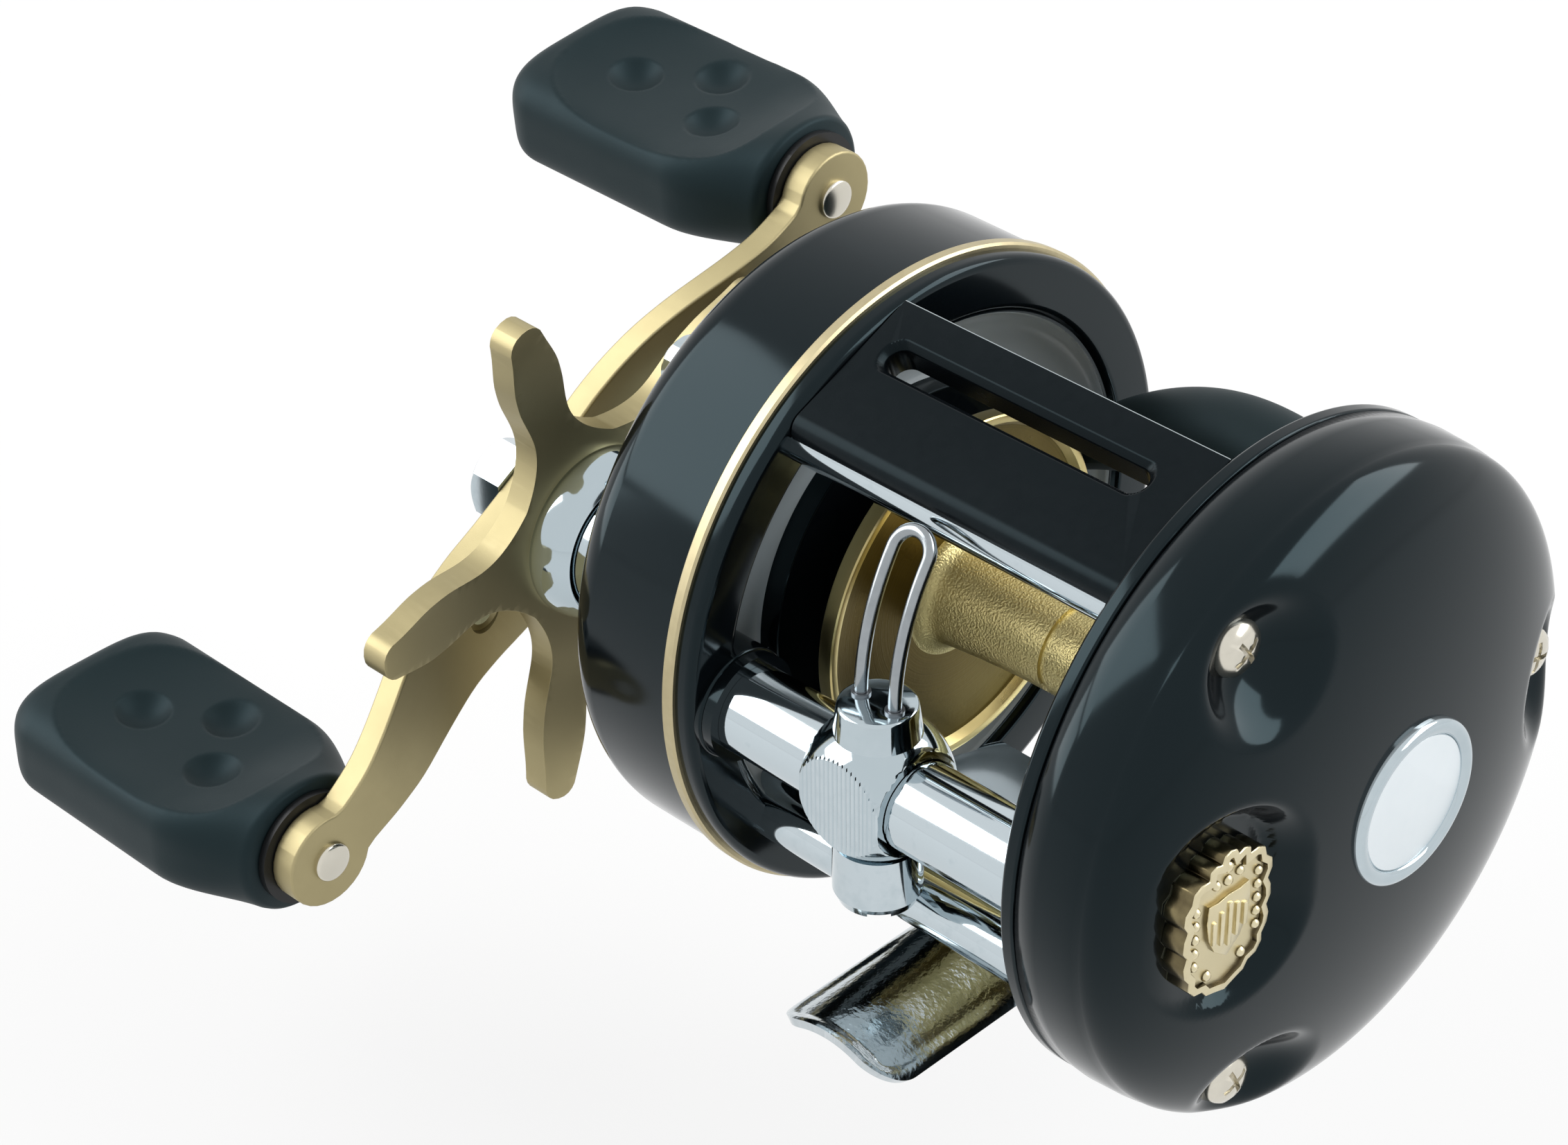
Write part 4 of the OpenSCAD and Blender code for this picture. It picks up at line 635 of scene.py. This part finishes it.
bpy.ops.mesh.edge_face_add()
bpy.ops.mesh.extrude_region_move(TRANSFORM_OT_translate={"value": (0, 0, 3.4 * MM)})
bpy.ops.mesh.extrude_region_move(TRANSFORM_OT_translate={"value": (0, 0, 1.0 * MM)})
bpy.ops.transform.resize(value=(1.069, 1.736, 1))
bpy.ops.mesh.select_all(action="SELECT")
bpy.ops.mesh.normals_make_consistent(inside=False)
bpy.ops.object.mode_set(mode="OBJECT")
slot.matrix_world = Matrix.Translation(spot(0.4, *on_plate(5.0, 0))) @ Matrix.Rotation(TILT, 4, "X")
cut(plate, slot)
close_up(plate, 0.01)
bevel(plate, 0.12, 30, 2)
dress(plate, "frame", satin_black, ["top_plate"], flat=True)
lift_way = Vector((0, -math.sin(TILT), math.cos(TILT)))
rear_way = Vector((0, math.cos(TILT), math.sin(TILT)))
# The rear edge's bevel faces get the bright grey of the painted highlight.
second_finish(plate, edge_painted_highlight_grey,
              lambda p, n: 0.15 < n.dot(lift_way) < 0.97 and n.dot(rear_way) > 0.2 and p.y > -4.2)

# %% [markdown]
# ## Spool
# The spool is turned from bar: two thin flanges with a bright rim, and a waisted arbor with a line groove. The
# flanges are polished in rings and the arbor is satin, so each is a piece of its own. The flat faces of the
# flanges are a dark gold, a painted reflection of the dark inside of the reel.

# %% Spool
def arbor_r(x):
    return 4.0 + 0.9 * (x / 13.3) ** 2


left, right, fillet = -12.4, 13.1, 1.6
waist = [(left + fillet * (1 - math.cos(t)), arbor_r(left + fillet) + fillet * (1 - math.sin(t)))
         for t in (math.radians(15 * i) for i in range(7))]
waist += [(x, arbor_r(x) - (0.3 if abs(x - 0.3) < 0.35 else 0)) for x in
          (-9, -7, -5, -3, -1.2, -0.05, 0.0, 0.6, 0.65, 1.8, 3.5, 5.5, 7.5, 9.5)]
waist += [(right - fillet * (1 - math.cos(t)), arbor_r(right - fillet) + fillet * (1 - math.sin(t)))
          for t in (math.radians(15 * i) for i in range(6, -1, -1))]
arbor = turned("spool_arbor", [(-12.45, 5.0)] + waist + [(13.15, 5.0)], count=128)
close_up(arbor, 0.004)
dress(arbor, "spool_body", arbor_gold, ["spool"], smooth=50)
for name, face, step in (("spool_flange_gear", -13.3, 1), ("spool_flange_palm", 14.0, -1)):
    line = [(0.0, 2.6), (0.0, 14.6), (0.0, 15.8), (0.12, 16.0), (0.35, 16.1), (1.5, 16.1), (1.63, 15.98),
            (1.66, 15.7), (1.6, 15.35), (1.3, 15.1), (0.95, 14.85), (0.9, 14.5), (0.9, 12.0), (0.93, 6.5),
            (0.9, 4.0), (0.9, 2.6)]
    disc = turned(name, [(face + step * x, r) for x, r in line], count=160, ring=True)
    close_up(disc, 0.004)
    dress(disc, "spool_body", spool_gold, smooth=30)
    # The flat faces get the dark gold of the painted reflection, and the rims keep the plain gold.
    second_finish(disc, flange_painted_reflection_gold, lambda p, n: abs(n.x) > 0.9 and math.hypot(p.y, p.z) < 14.8)

# %% [markdown]
# ## Foot
# The foot is pressed from thin plate to fit over the rod, with a raised pad in the middle and a sunk tongue at
# each end. A flat grid is drawn in at its corners to round them, bent over the rod, and then given its
# thickness.

# %% Foot
CROWN, FOOT_HALF, FRONT, REAR = 9.2, 6.7, -28.3, 29.9
CORNER, PRESSED = 3.4, 0.4
nothing_selected()
bpy.ops.mesh.primitive_grid_add(x_subdivisions=60, y_subdivisions=240, size=2 * MM, location=(0, 0, 0))
foot = bpy.context.object
foot.name = "foot_trough"
for v in foot.data.vertices:
    u, w = v.co.x / MM, v.co.y / MM
    y = (FRONT + REAR) / 2 + math.sin(w * math.pi / 2) * (REAR - FRONT) / 2
    from_end = min(y - FRONT, REAR - y)
    t = max(0.0, 1 - from_end / CORNER)
    half_w = FOOT_HALF - CORNER * (1 - math.sqrt(max(0.0, 1 - t * t)))
    x = u * half_w
    sunk = PRESSED * ease(abs(y), 10.5, 17) * ease(half_w - abs(x), 0.3, 1.6) * ease(from_end, 0.3, 1.6)
    z = math.sqrt(CROWN ** 2 - x * x)
    z += (CROWN - z) * ease(9.8 - abs(y), 0, 1.6) * ease(6.4 - abs(x), 0, 0.9) - sunk
    v.co = Vector((x, y, z)) * MM
only(foot)
m = foot.modifiers.new("plate", "SOLIDIFY")
m.thickness, m.offset = 0.8 * MM, -1
bpy.ops.object.modifier_apply(modifier="plate")
dress(foot, "frame", foot_chrome, ["reel_foot"], smooth=50)

# %% [markdown]
# ## Star drag and its collar
# The star is milled from plate and blasted before it is anodised. Its outline is five fingers on a hub, and a
# small bevel softens their edges. The fingers are then bent towards the reel.

# %% Star drag
STAR_BEND = 1.6


def star_half(d):
    web = 3.3 * (max(0.0, 13.5 - d) / 6) ** 2
    return 2.2 + web + 0.4 * ease(d, 13.5, 18) - 0.85 * ease(d, 19, 25)


spine = [7.62 + 0.36 * i for i in range(17)] + [14.0 + 0.8 * i for i in range(13)]
side_of = [(d, star_half(d)) for d in spine] + [(24.3, 1.75), (24.75, 1.52), (25.12, 1.16), (25.36, 0.68)]
outline = []
for k in range(5):
    turn = math.radians(37.5 + 72 * k)
    for d, t in [(d, -t) for d, t in side_of] + [(25.45, 0.0)] + side_of[::-1]:
        outline.append((DRIVE[0] + d * math.cos(turn) - t * math.sin(turn),
                        DRIVE[1] + d * math.sin(turn) + t * math.cos(turn)))
star = outlined("star_wheel", outline, -44.1, -41.5)
only(star)
bpy.ops.object.mode_set(mode="EDIT")
for i in range(-25, 26):
    for way in ((0, 1, 0), (0, 0, 1)):
        bpy.ops.mesh.select_all(action="SELECT")
        bpy.ops.mesh.bisect(plane_co=spot(-42, DRIVE[0] + i, DRIVE[1] + i), plane_no=way)
bpy.ops.object.mode_set(mode="OBJECT")
bevel(star, 0.22, 50, 3)
for v in star.data.vertices:
    q = v.co / MM - MID - Vector((0, *DRIVE))
    v.co.x += STAR_BEND * ease(math.hypot(q.y, q.z), 12.6, 26.0) * MM
dress(star, "star", blast_gold, ["star_drag"], smooth=45, flat=True)
collar = turned("star_collar_dome", [(-39.4, 2.6), (-39.3, 6.4), (-37.9, 6.45), (-37.72, 6.55)] +
                curve_through([(-37.7, 6.66), (-38.1, 6.95), (-38.6, 7.25), (-39.2, 7.5), (-39.9, 7.71),
                               (-40.6, 7.84), (-41.1, 7.86), (-41.5, 7.74)], 4) + [(-41.5, 2.6)],
                *DRIVE, count=160, ring=True)
close_up(collar)
dress(collar, "star", chrome, ["star_collar"], smooth=60)
tube = turned("drive_housing_tube", [(-29.1, 4.6), (-29.1, 6.3), (-30.4, 6.3), (-30.9, 6.3), (-38.7, 6.3),
                                     (-39.0, 6.0), (-39.0, 4.6)], *DRIVE, count=96, ring=True)
close_up(tube)
dress(tube, "frame", chrome, ["drive_housing"])

# %% [markdown]
# ## Handle arm
# The arm is cut flat from plate and then bent, so it is made in that order here too: an outline, an
# extrusion, a row of bisect cuts across it, and then each vertex is moved back by the bend.

# %% Handle arm
PAD_R, ARM_BACK, ARM_BEND = 4.35, -47.5, 5.0
SINK = (10.8, -2.0)
S_DIR = Vector((0.0, -math.cos(ARM_ANGLE), -math.sin(ARM_ANGLE)))
T_DIR = Vector((0.0, -math.sin(ARM_ANGLE), math.cos(ARM_ANGLE)))


def on_arm(s, t):
    p = S_DIR * s + T_DIR * t
    return DRIVE[0] + p.y, DRIVE[1] + p.z


def pad_arc(centre, a0, a1):
    return [around(centre, 0, PAD_R, a0 + (a1 - a0) * i / 24) for i in range(25)]


above = curve_through([(0, 3.1), (6, 3.2), (10, 3.5), (13, 3.9), (16.5, 4.35), (20, 4.45), (23, 4.2),
                       (26, 3.75), (28.5, 3.3), (30.8, 2.98), (32.3, 2.88)], 3)
below = curve_through([(32.2, -3.05), (30, -3.25), (27.8, -3.5), (25.5, -3.9), (22, -4.4), (18.8, -5.1),
                       (16, -5.9), (13, -7.1), (9.7, -8.3), (6, -8.9), (0, -9.0)], 3)
half_edge = above + pad_arc(ARM_HALF, 134, -134) + below
edge = half_edge + [(-s, t) for s, t in half_edge[-2:0:-1]]
arm = outlined("handle_plate", [on_arm(s, t) for s, t in edge], -50.0, ARM_BACK)
only(arm)
bpy.ops.object.mode_set(mode="EDIT")
for i in range(-39, 40):
    bpy.ops.mesh.select_all(action="SELECT")
    bpy.ops.mesh.bisect(plane_co=spot(-48, *on_arm(i, 0)), plane_no=S_DIR)
bpy.ops.object.mode_set(mode="OBJECT")
for v in arm.data.vertices:
    s = abs((v.co / MM - MID - Vector((0, *DRIVE))).dot(S_DIR))
    v.co.x += ARM_BEND * ease(s, 8, 30) * MM
bevel(arm, 0.25, 50, 3)
near = ARM_BACK + ARM_BEND * ease(11, 8, 30)
sink = turned("sink", [(near - 1.25, 0.0), (near - 1.25, 1.25), (near - 0.75, 1.25), (near - 0.3, 1.9),
                       (near + 0.6, 2.0), (near + 0.6, 0.0)], *on_arm(*SINK), count=48)
close_up(sink)
cut(arm, sink)
dress(arm, "crank", blast_gold, ["handle_arm"], smooth=45, flat=True)

for name, (hy, hz) in (("pin_upper", on_arm(-ARM_HALF, 0)), ("pin_lower", on_arm(ARM_HALF, 0))):
    head = turned(name, [(-45.2, 0.0), (-45.2, 1.4), (-42.5, 1.4), (-42.5, 1.8), (-42.3, 1.8)] +
                  [(-42.3 + 0.28 * math.sin(math.radians(a)), 1.5 + 0.3 * math.cos(math.radians(a)))
                   for a in (30, 60, 90)] + [(-41.95, 1.2), (-41.88, 0.6), (-41.86, 0.0)], hy, hz, count=64)
    close_up(head)
    dress(head, "crank", nickel, ["knob_pins"] if name == "pin_upper" else (), smooth=50)

# %% [markdown]
# ## Knobs
# A knob is moulded soft rubber, wide and flat, with a dish and three dimples for the fingers. A turned bar with
# close rings is squared off into a paddle, and its top is pressed down in code.

# %% Knob
GRIP_LONG, GRIP_BASE = 30.2, -45.85
DIMPLES, DIMPLE_R = ((20.9, -0.3), (14.4, 4.2), (9.9, -1.6)), 2.55


def grip_half(d, neck, full, round_over):
    w = neck + (full - neck) * ease(d, -3.7, 8.9)
    u = max(0.0, min(1.0, (d - GRIP_LONG + round_over) / round_over))
    return w - round_over * (1 - math.sqrt(1 - u * u))


def knob(name, y, z, turn, node):
    path = [(0.0, 0.0), (0.0, 0.6), (0.0, 0.94), (0.25, 0.985), (0.6, 1.0)]
    path += [(0.6 + (GRIP_LONG - 4.6) * i / 110, 1.0) for i in range(1, 111)]
    path += [(GRIP_LONG - 4 + 4 * math.sin(math.radians(5 * i)), 1.0) for i in range(1, 19)]
    path += [(GRIP_LONG, k) for k in (0.85, 0.7, 0.5, 0.3, 0.12, 0.0)]
    obj = turned(name, [(GRIP_BASE - d, k) for d, k in path], count=192)
    settle(obj)
    for v in obj.data.vertices:
        p = v.co / MM - MID
        d, k = GRIP_BASE - p.x, math.hypot(p.y, p.z)
        c, s = (p.y / k, p.z / k) if k > 1e-4 else (1.0, 0.0)
        wide = grip_half(d, 5.5, 9.5, 4.0)
        thick = grip_half(d, 6.4, 5.0, 2.0)
        n = 2.2 + 1.6 * ease(d, 0, 10)
        r = ((abs(c) / wide) ** n + (abs(s) / thick) ** n) ** (-1 / n)
        py, pz = k * r * c, k * r * s
        if s > 0 and k > 0.5:
            w = 1 - (abs(d - 15.0) / 12.4) ** 2.8 - (abs(py) / 8.75) ** 2.8
            dish = 1.65 * max(0.0, w) ** 0.8
            for dx, dy in DIMPLES:
                dish += 1.1 * max(0.0, 1 - (math.hypot(d - dx, py - dy) / DIMPLE_R) ** 2)
            pz -= dish * ease(s, 0.02, 0.3)
        v.co = Vector((GRIP_BASE - d, py, pz)) * MM
    obj.data.transform(Matrix.Translation(spot(0, y, z)) @ Matrix.Rotation(math.radians(turn), 4, "X"))
    close_up(obj, 0.002)
    dress(obj, "knob_a" if node == "knob_upper" else "knob_b", soft_rubber, [node], smooth=75)


UPPER = (DRIVE[0] + ARM_HALF * math.cos(ARM_ANGLE), DRIVE[1] + ARM_HALF * math.sin(ARM_ANGLE))
LOWER = (DRIVE[0] - ARM_HALF * math.cos(ARM_ANGLE), DRIVE[1] - ARM_HALF * math.sin(ARM_ANGLE))
knob("grip_upper", *UPPER, 5, "knob_upper")
knob("grip_lower", *LOWER, 0, "knob_lower")

# %% [markdown]
# ## Line guide
# The carriage is a chromed ball with flat ends, a bore, and a face that is grooved so it can be gripped. It
# is cut from a sphere by bisecting it with planes that also fill.

# %% Carriage
nothing_selected()
bpy.ops.mesh.primitive_uv_sphere_add(segments=96, ring_count=64, radius=6.3 * MM,
                                     location=spot(CARRIAGE_X, *WIND), rotation=(math.pi / 2, 0, 0))
ball = bpy.context.object
ball.name = "guide_ball"
bpy.ops.object.transform_apply(location=True, rotation=True)
bpy.ops.object.mode_set(mode="EDIT")
for x, y, z, way in ((-3.9, 0, 0, (-1, 0, 0)), (4.5, 0, 0, (1, 0, 0)), (0, -27.8, 0, (0, -1, 0)),
                     (0, 0, -6.1, (0, 0, -1))):
    bpy.ops.mesh.select_all(action="SELECT")
    bpy.ops.mesh.bisect(plane_co=spot(x, y, z), plane_no=way, use_fill=True, clear_outer=True)
bpy.ops.object.mode_set(mode="OBJECT")
close_up(ball, 0.01)
bore = turned("bore", [(-6, 0.0), (-6, 3.95), (6, 3.95), (6, 0.0)], *WIND, count=64)
close_up(bore)
grooves = []
for i in range(19):
    nothing_selected()
    bpy.ops.mesh.primitive_cube_add(size=MM, location=spot(CARRIAGE_X + (i - 9) * 0.47, -27.8, WIND[1]),
                                    rotation=(0, 0, math.pi / 4))
    bpy.context.object.scale = (0.22, 0.22, 12)
    grooves.append(bpy.context.object)
for g in grooves:
    only(g)
    bpy.ops.object.transform_apply(location=True, rotation=True, scale=True)
bevel(ball, 0.15, 40, 2)
cut(ball, bore, joined("grooves", *grooves))

# %% [markdown]
# A tapered collar stands on the ball and holds the wire's two legs. It is a cone added at its size, and two
# small cylinders drill its top.

# %% Wire collar
LEG = 1.8
nothing_selected()
bpy.ops.mesh.primitive_cone_add(vertices=96, radius1=3.85 * MM, radius2=3.25 * MM, depth=4.4 * MM,
                                location=spot(CARRIAGE_X, WIND[0], WIND[1] + 5.65))
neck = bpy.context.object
close_up(neck)
bevel(neck, 0.25, 50, 3)
drills = []
for s in (-1, 1):
    nothing_selected()
    bpy.ops.mesh.primitive_cylinder_add(vertices=32, radius=0.78 * MM, depth=2 * MM,
                                        location=spot(CARRIAGE_X + LEG * s, WIND[0], WIND[1] + 7.6))
    drills.append(bpy.context.object)
bore = turned("bore", [(-6, 0.0), (-6, 4.0), (6, 4.0), (6, 0.0)], *WIND, count=64)
close_up(bore)
cut(neck, *drills, bore)
ball = joined("guide_ball", ball, neck)
dress(ball, "carriage", chrome, ["guide_carriage"], smooth=35)

# %% [markdown]
# ## Guide wire
# The loop is one piece of spring wire that leans back over the spool. Its path is a curve with a round section,
# turned into a mesh, so that its finish and its place are the same kind as every other piece's.

# %% Guide wire
LEAN, REACH, WIRE_R = math.radians(33), 22.8, 0.575
path = [(-LEG, 0.0, -2.7), (-LEG, 0.0, -1.3)]
path += [(-LEG, REACH * (1 - math.cos(LEAN * i / 16)), REACH * math.sin(LEAN * i / 16)) for i in range(17)]
top_y, top_z = REACH * (1 - math.cos(LEAN)), REACH * math.sin(LEAN)
path += [(-LEG * math.cos(b), top_y + LEG * math.sin(b) * math.sin(LEAN),
          top_z + LEG * math.sin(b) * math.cos(LEAN)) for b in (math.pi * i / 20 for i in range(1, 20))]
path += [(-x, y, z) for x, y, z in path[18::-1]]
nothing_selected()
bpy.ops.curve.primitive_bezier_curve_add(location=(0, 0, 0))
wire = bpy.context.object
wire.name = "guide_loop"
wire.data.splines.clear()
spline = wire.data.splines.new("POLY")
spline.points.add(len(path) - 1)
for point, (x, y, z) in zip(spline.points, path):
    point.co = (*spot(CARRIAGE_X + x, WIND[0] + y, WIND[1] + 7.65 + z), 1)
wire.data.dimensions = "3D"
wire.data.bevel_depth, wire.data.bevel_resolution, wire.data.use_fill_caps = WIRE_R * MM, 6, True
only(wire)
bpy.ops.object.convert(target="MESH")
wire = bpy.context.object
close_up(wire, 0.001)
dress(wire, "carriage", wire_steel, ["guide_wire"], smooth=60)

# %% [markdown]
# ## Thumb bar
# The clutch is released by a bar behind the spool. It is a matt moulding with an arched back, hollowed below so
# that it clears the spool through its whole stroke. A bar along X is turned with a ring every half millimetre
# and swelled in the middle. A drum as wide as the spool's clearance, raised by the stroke, trims it. The bar's
# ends are merged into points first, because a boolean cut of an open mesh can go wrong by chance.

# %% Thumb bar
SPOOL_CLEAR, STROKE = 16.5, 3.0
bar = turned("thumb_rest", [(-15.7, 0.0), (-15.7, 0.9)] + [(-15.7 + 0.5 * i, 1.0) for i in range(1, 61)] +
             [(15.2, 0.95), (15.2, 0.0)], count=96)
settle(bar)
for v in bar.data.vertices:
    p = v.co / MM - MID
    k = math.hypot(p.y, p.z)
    c, s = (p.y / k, p.z / k) if k > 1e-4 else (1.0, 0.0)
    drop = abs((p.x - 3.2) / 16.1) ** 2.1
    cy, cz = 20.0 - 0.9 * drop, 10.5 - 4.6 * drop
    v.co = Vector(spot(p.x, cy + k * c * (4.6 - 1.6 * drop), cz + k * s * (4.6 - 1.5 * drop)))
close_up(bar, 0.08)
drum = turned("clear", [(-17, 0.0), (-17, SPOOL_CLEAR), (17, SPOOL_CLEAR), (17, 0.0)], 0, STROKE, count=192)
close_up(drum)
cut(bar, drum)
bevel(bar, 0.35, 60, 3)
dress(bar, "thumb", bar_black, ["thumb_bar"], smooth=60)

# %% [markdown]
# ## Floor, light and camera
# The floor is pale and plain, and carries the soft shadow under the reel. The world is white to the camera, to
# polished metal and to glass, and dimmer to matt surfaces. Three soft boxes draw the long highlights on the
# black covers.

# %% Floor
def seen_white(tree):
    path = tree.nodes.new("ShaderNodeLightPath")
    seen = math_node(tree, "MAXIMUM", path.outputs["Is Camera Ray"], path.outputs["Is Transmission Ray"])
    return math_node(tree, "MAXIMUM", seen, path.outputs["Is Glossy Ray"])


FLOOR_Z, FLOOR_GLOW = -0.018, 0.82
nothing_selected()
bpy.ops.mesh.primitive_plane_add(size=3.0, location=(0, 0, FLOOR_Z))
floor = bpy.context.object
floor.name = "floor"
floor_mat = bpy.data.materials.new("pale_floor")
floor_mat.use_nodes = True
tree = floor_mat.node_tree
bsdf = tree.nodes["Principled BSDF"]
bsdf.inputs["Base Color"].default_value = (0.9, 0.9, 0.9, 1)
bsdf.inputs["Roughness"].default_value = 0.9
glow = tree.nodes.new("ShaderNodeEmission")
glow.inputs["Strength"].default_value = 1.0
blend = tree.nodes.new("ShaderNodeMixShader")
tree.links.new(math_node(tree, "MULTIPLY", seen_white(tree), FLOOR_GLOW), blend.inputs["Fac"])
tree.links.new(bsdf.outputs["BSDF"], blend.inputs[1])
tree.links.new(glow.outputs["Emission"], blend.inputs[2])
tree.links.new(blend.outputs["Shader"], tree.nodes["Material Output"].inputs["Surface"])
floor.data.materials.append(floor_mat)

# %% Soft boxes and world
def soft_box(name, place, size, power):
    data = bpy.data.lights.new(name, "AREA")
    data.shape, data.size, data.size_y, data.energy = "RECTANGLE", size[0], size[1], power
    lamp = bpy.data.objects.new(name, data)
    bpy.context.scene.collection.objects.link(lamp)
    lamp.location = place
    aim = Vector((0, 0, 0.03)) - Vector(place)
    lamp.rotation_euler = aim.to_track_quat("-Z", "Y").to_euler()


soft_box("box_left", (-0.60, -0.42, 0.57), (0.65, 0.6), 4.6)
soft_box("box_low", (-0.80, -0.55, 0.12), (0.45, 0.35), 1.7)
soft_box("box_right", (0.46, 0.55, 0.60), (0.95, 0.5), 6.6)
world = bpy.data.worlds.new("white_room")
bpy.context.scene.world = world
world.use_nodes = True
tree = world.node_tree
level = tree.nodes.new("ShaderNodeMix")
level.inputs["A"].default_value = 0.45
level.inputs["B"].default_value = 1.0
tree.links.new(seen_white(tree), level.inputs["Factor"])
tree.links.new(level.outputs["Result"], tree.nodes["Background"].inputs["Strength"])
tree.nodes["Background"].inputs["Color"].default_value = (1, 1, 1, 1)

# %% Camera
AZ, EL, ROLL = math.radians(44.965), math.radians(34.950), math.radians(-0.876)
back = Vector((math.sin(AZ) * math.cos(EL), -math.cos(AZ) * math.cos(EL), math.sin(EL)))
side = (-back).cross(Vector((0, 0, 1))).normalized()
upward = side.cross(-back)
right_way = side * math.cos(ROLL) + upward * math.sin(ROLL)
up_way = upward * math.cos(ROLL) - side * math.sin(ROLL)
lens = bpy.data.cameras.new("camera")
lens.lens, lens.sensor_width, lens.sensor_fit = 99.25, 36, "HORIZONTAL"
lens.clip_start, lens.clip_end = 0.01, 10
camera = bpy.data.objects.new("camera", lens)
bpy.context.scene.collection.objects.link(camera)
turn = Matrix((right_way, up_way, back)).transposed().to_4x4()
camera.matrix_world = Matrix.Translation((0.186426, -0.219168, 0.241339)) @ turn
bpy.context.scene.camera = camera
bpy.context.scene.view_settings.view_transform = "Standard"
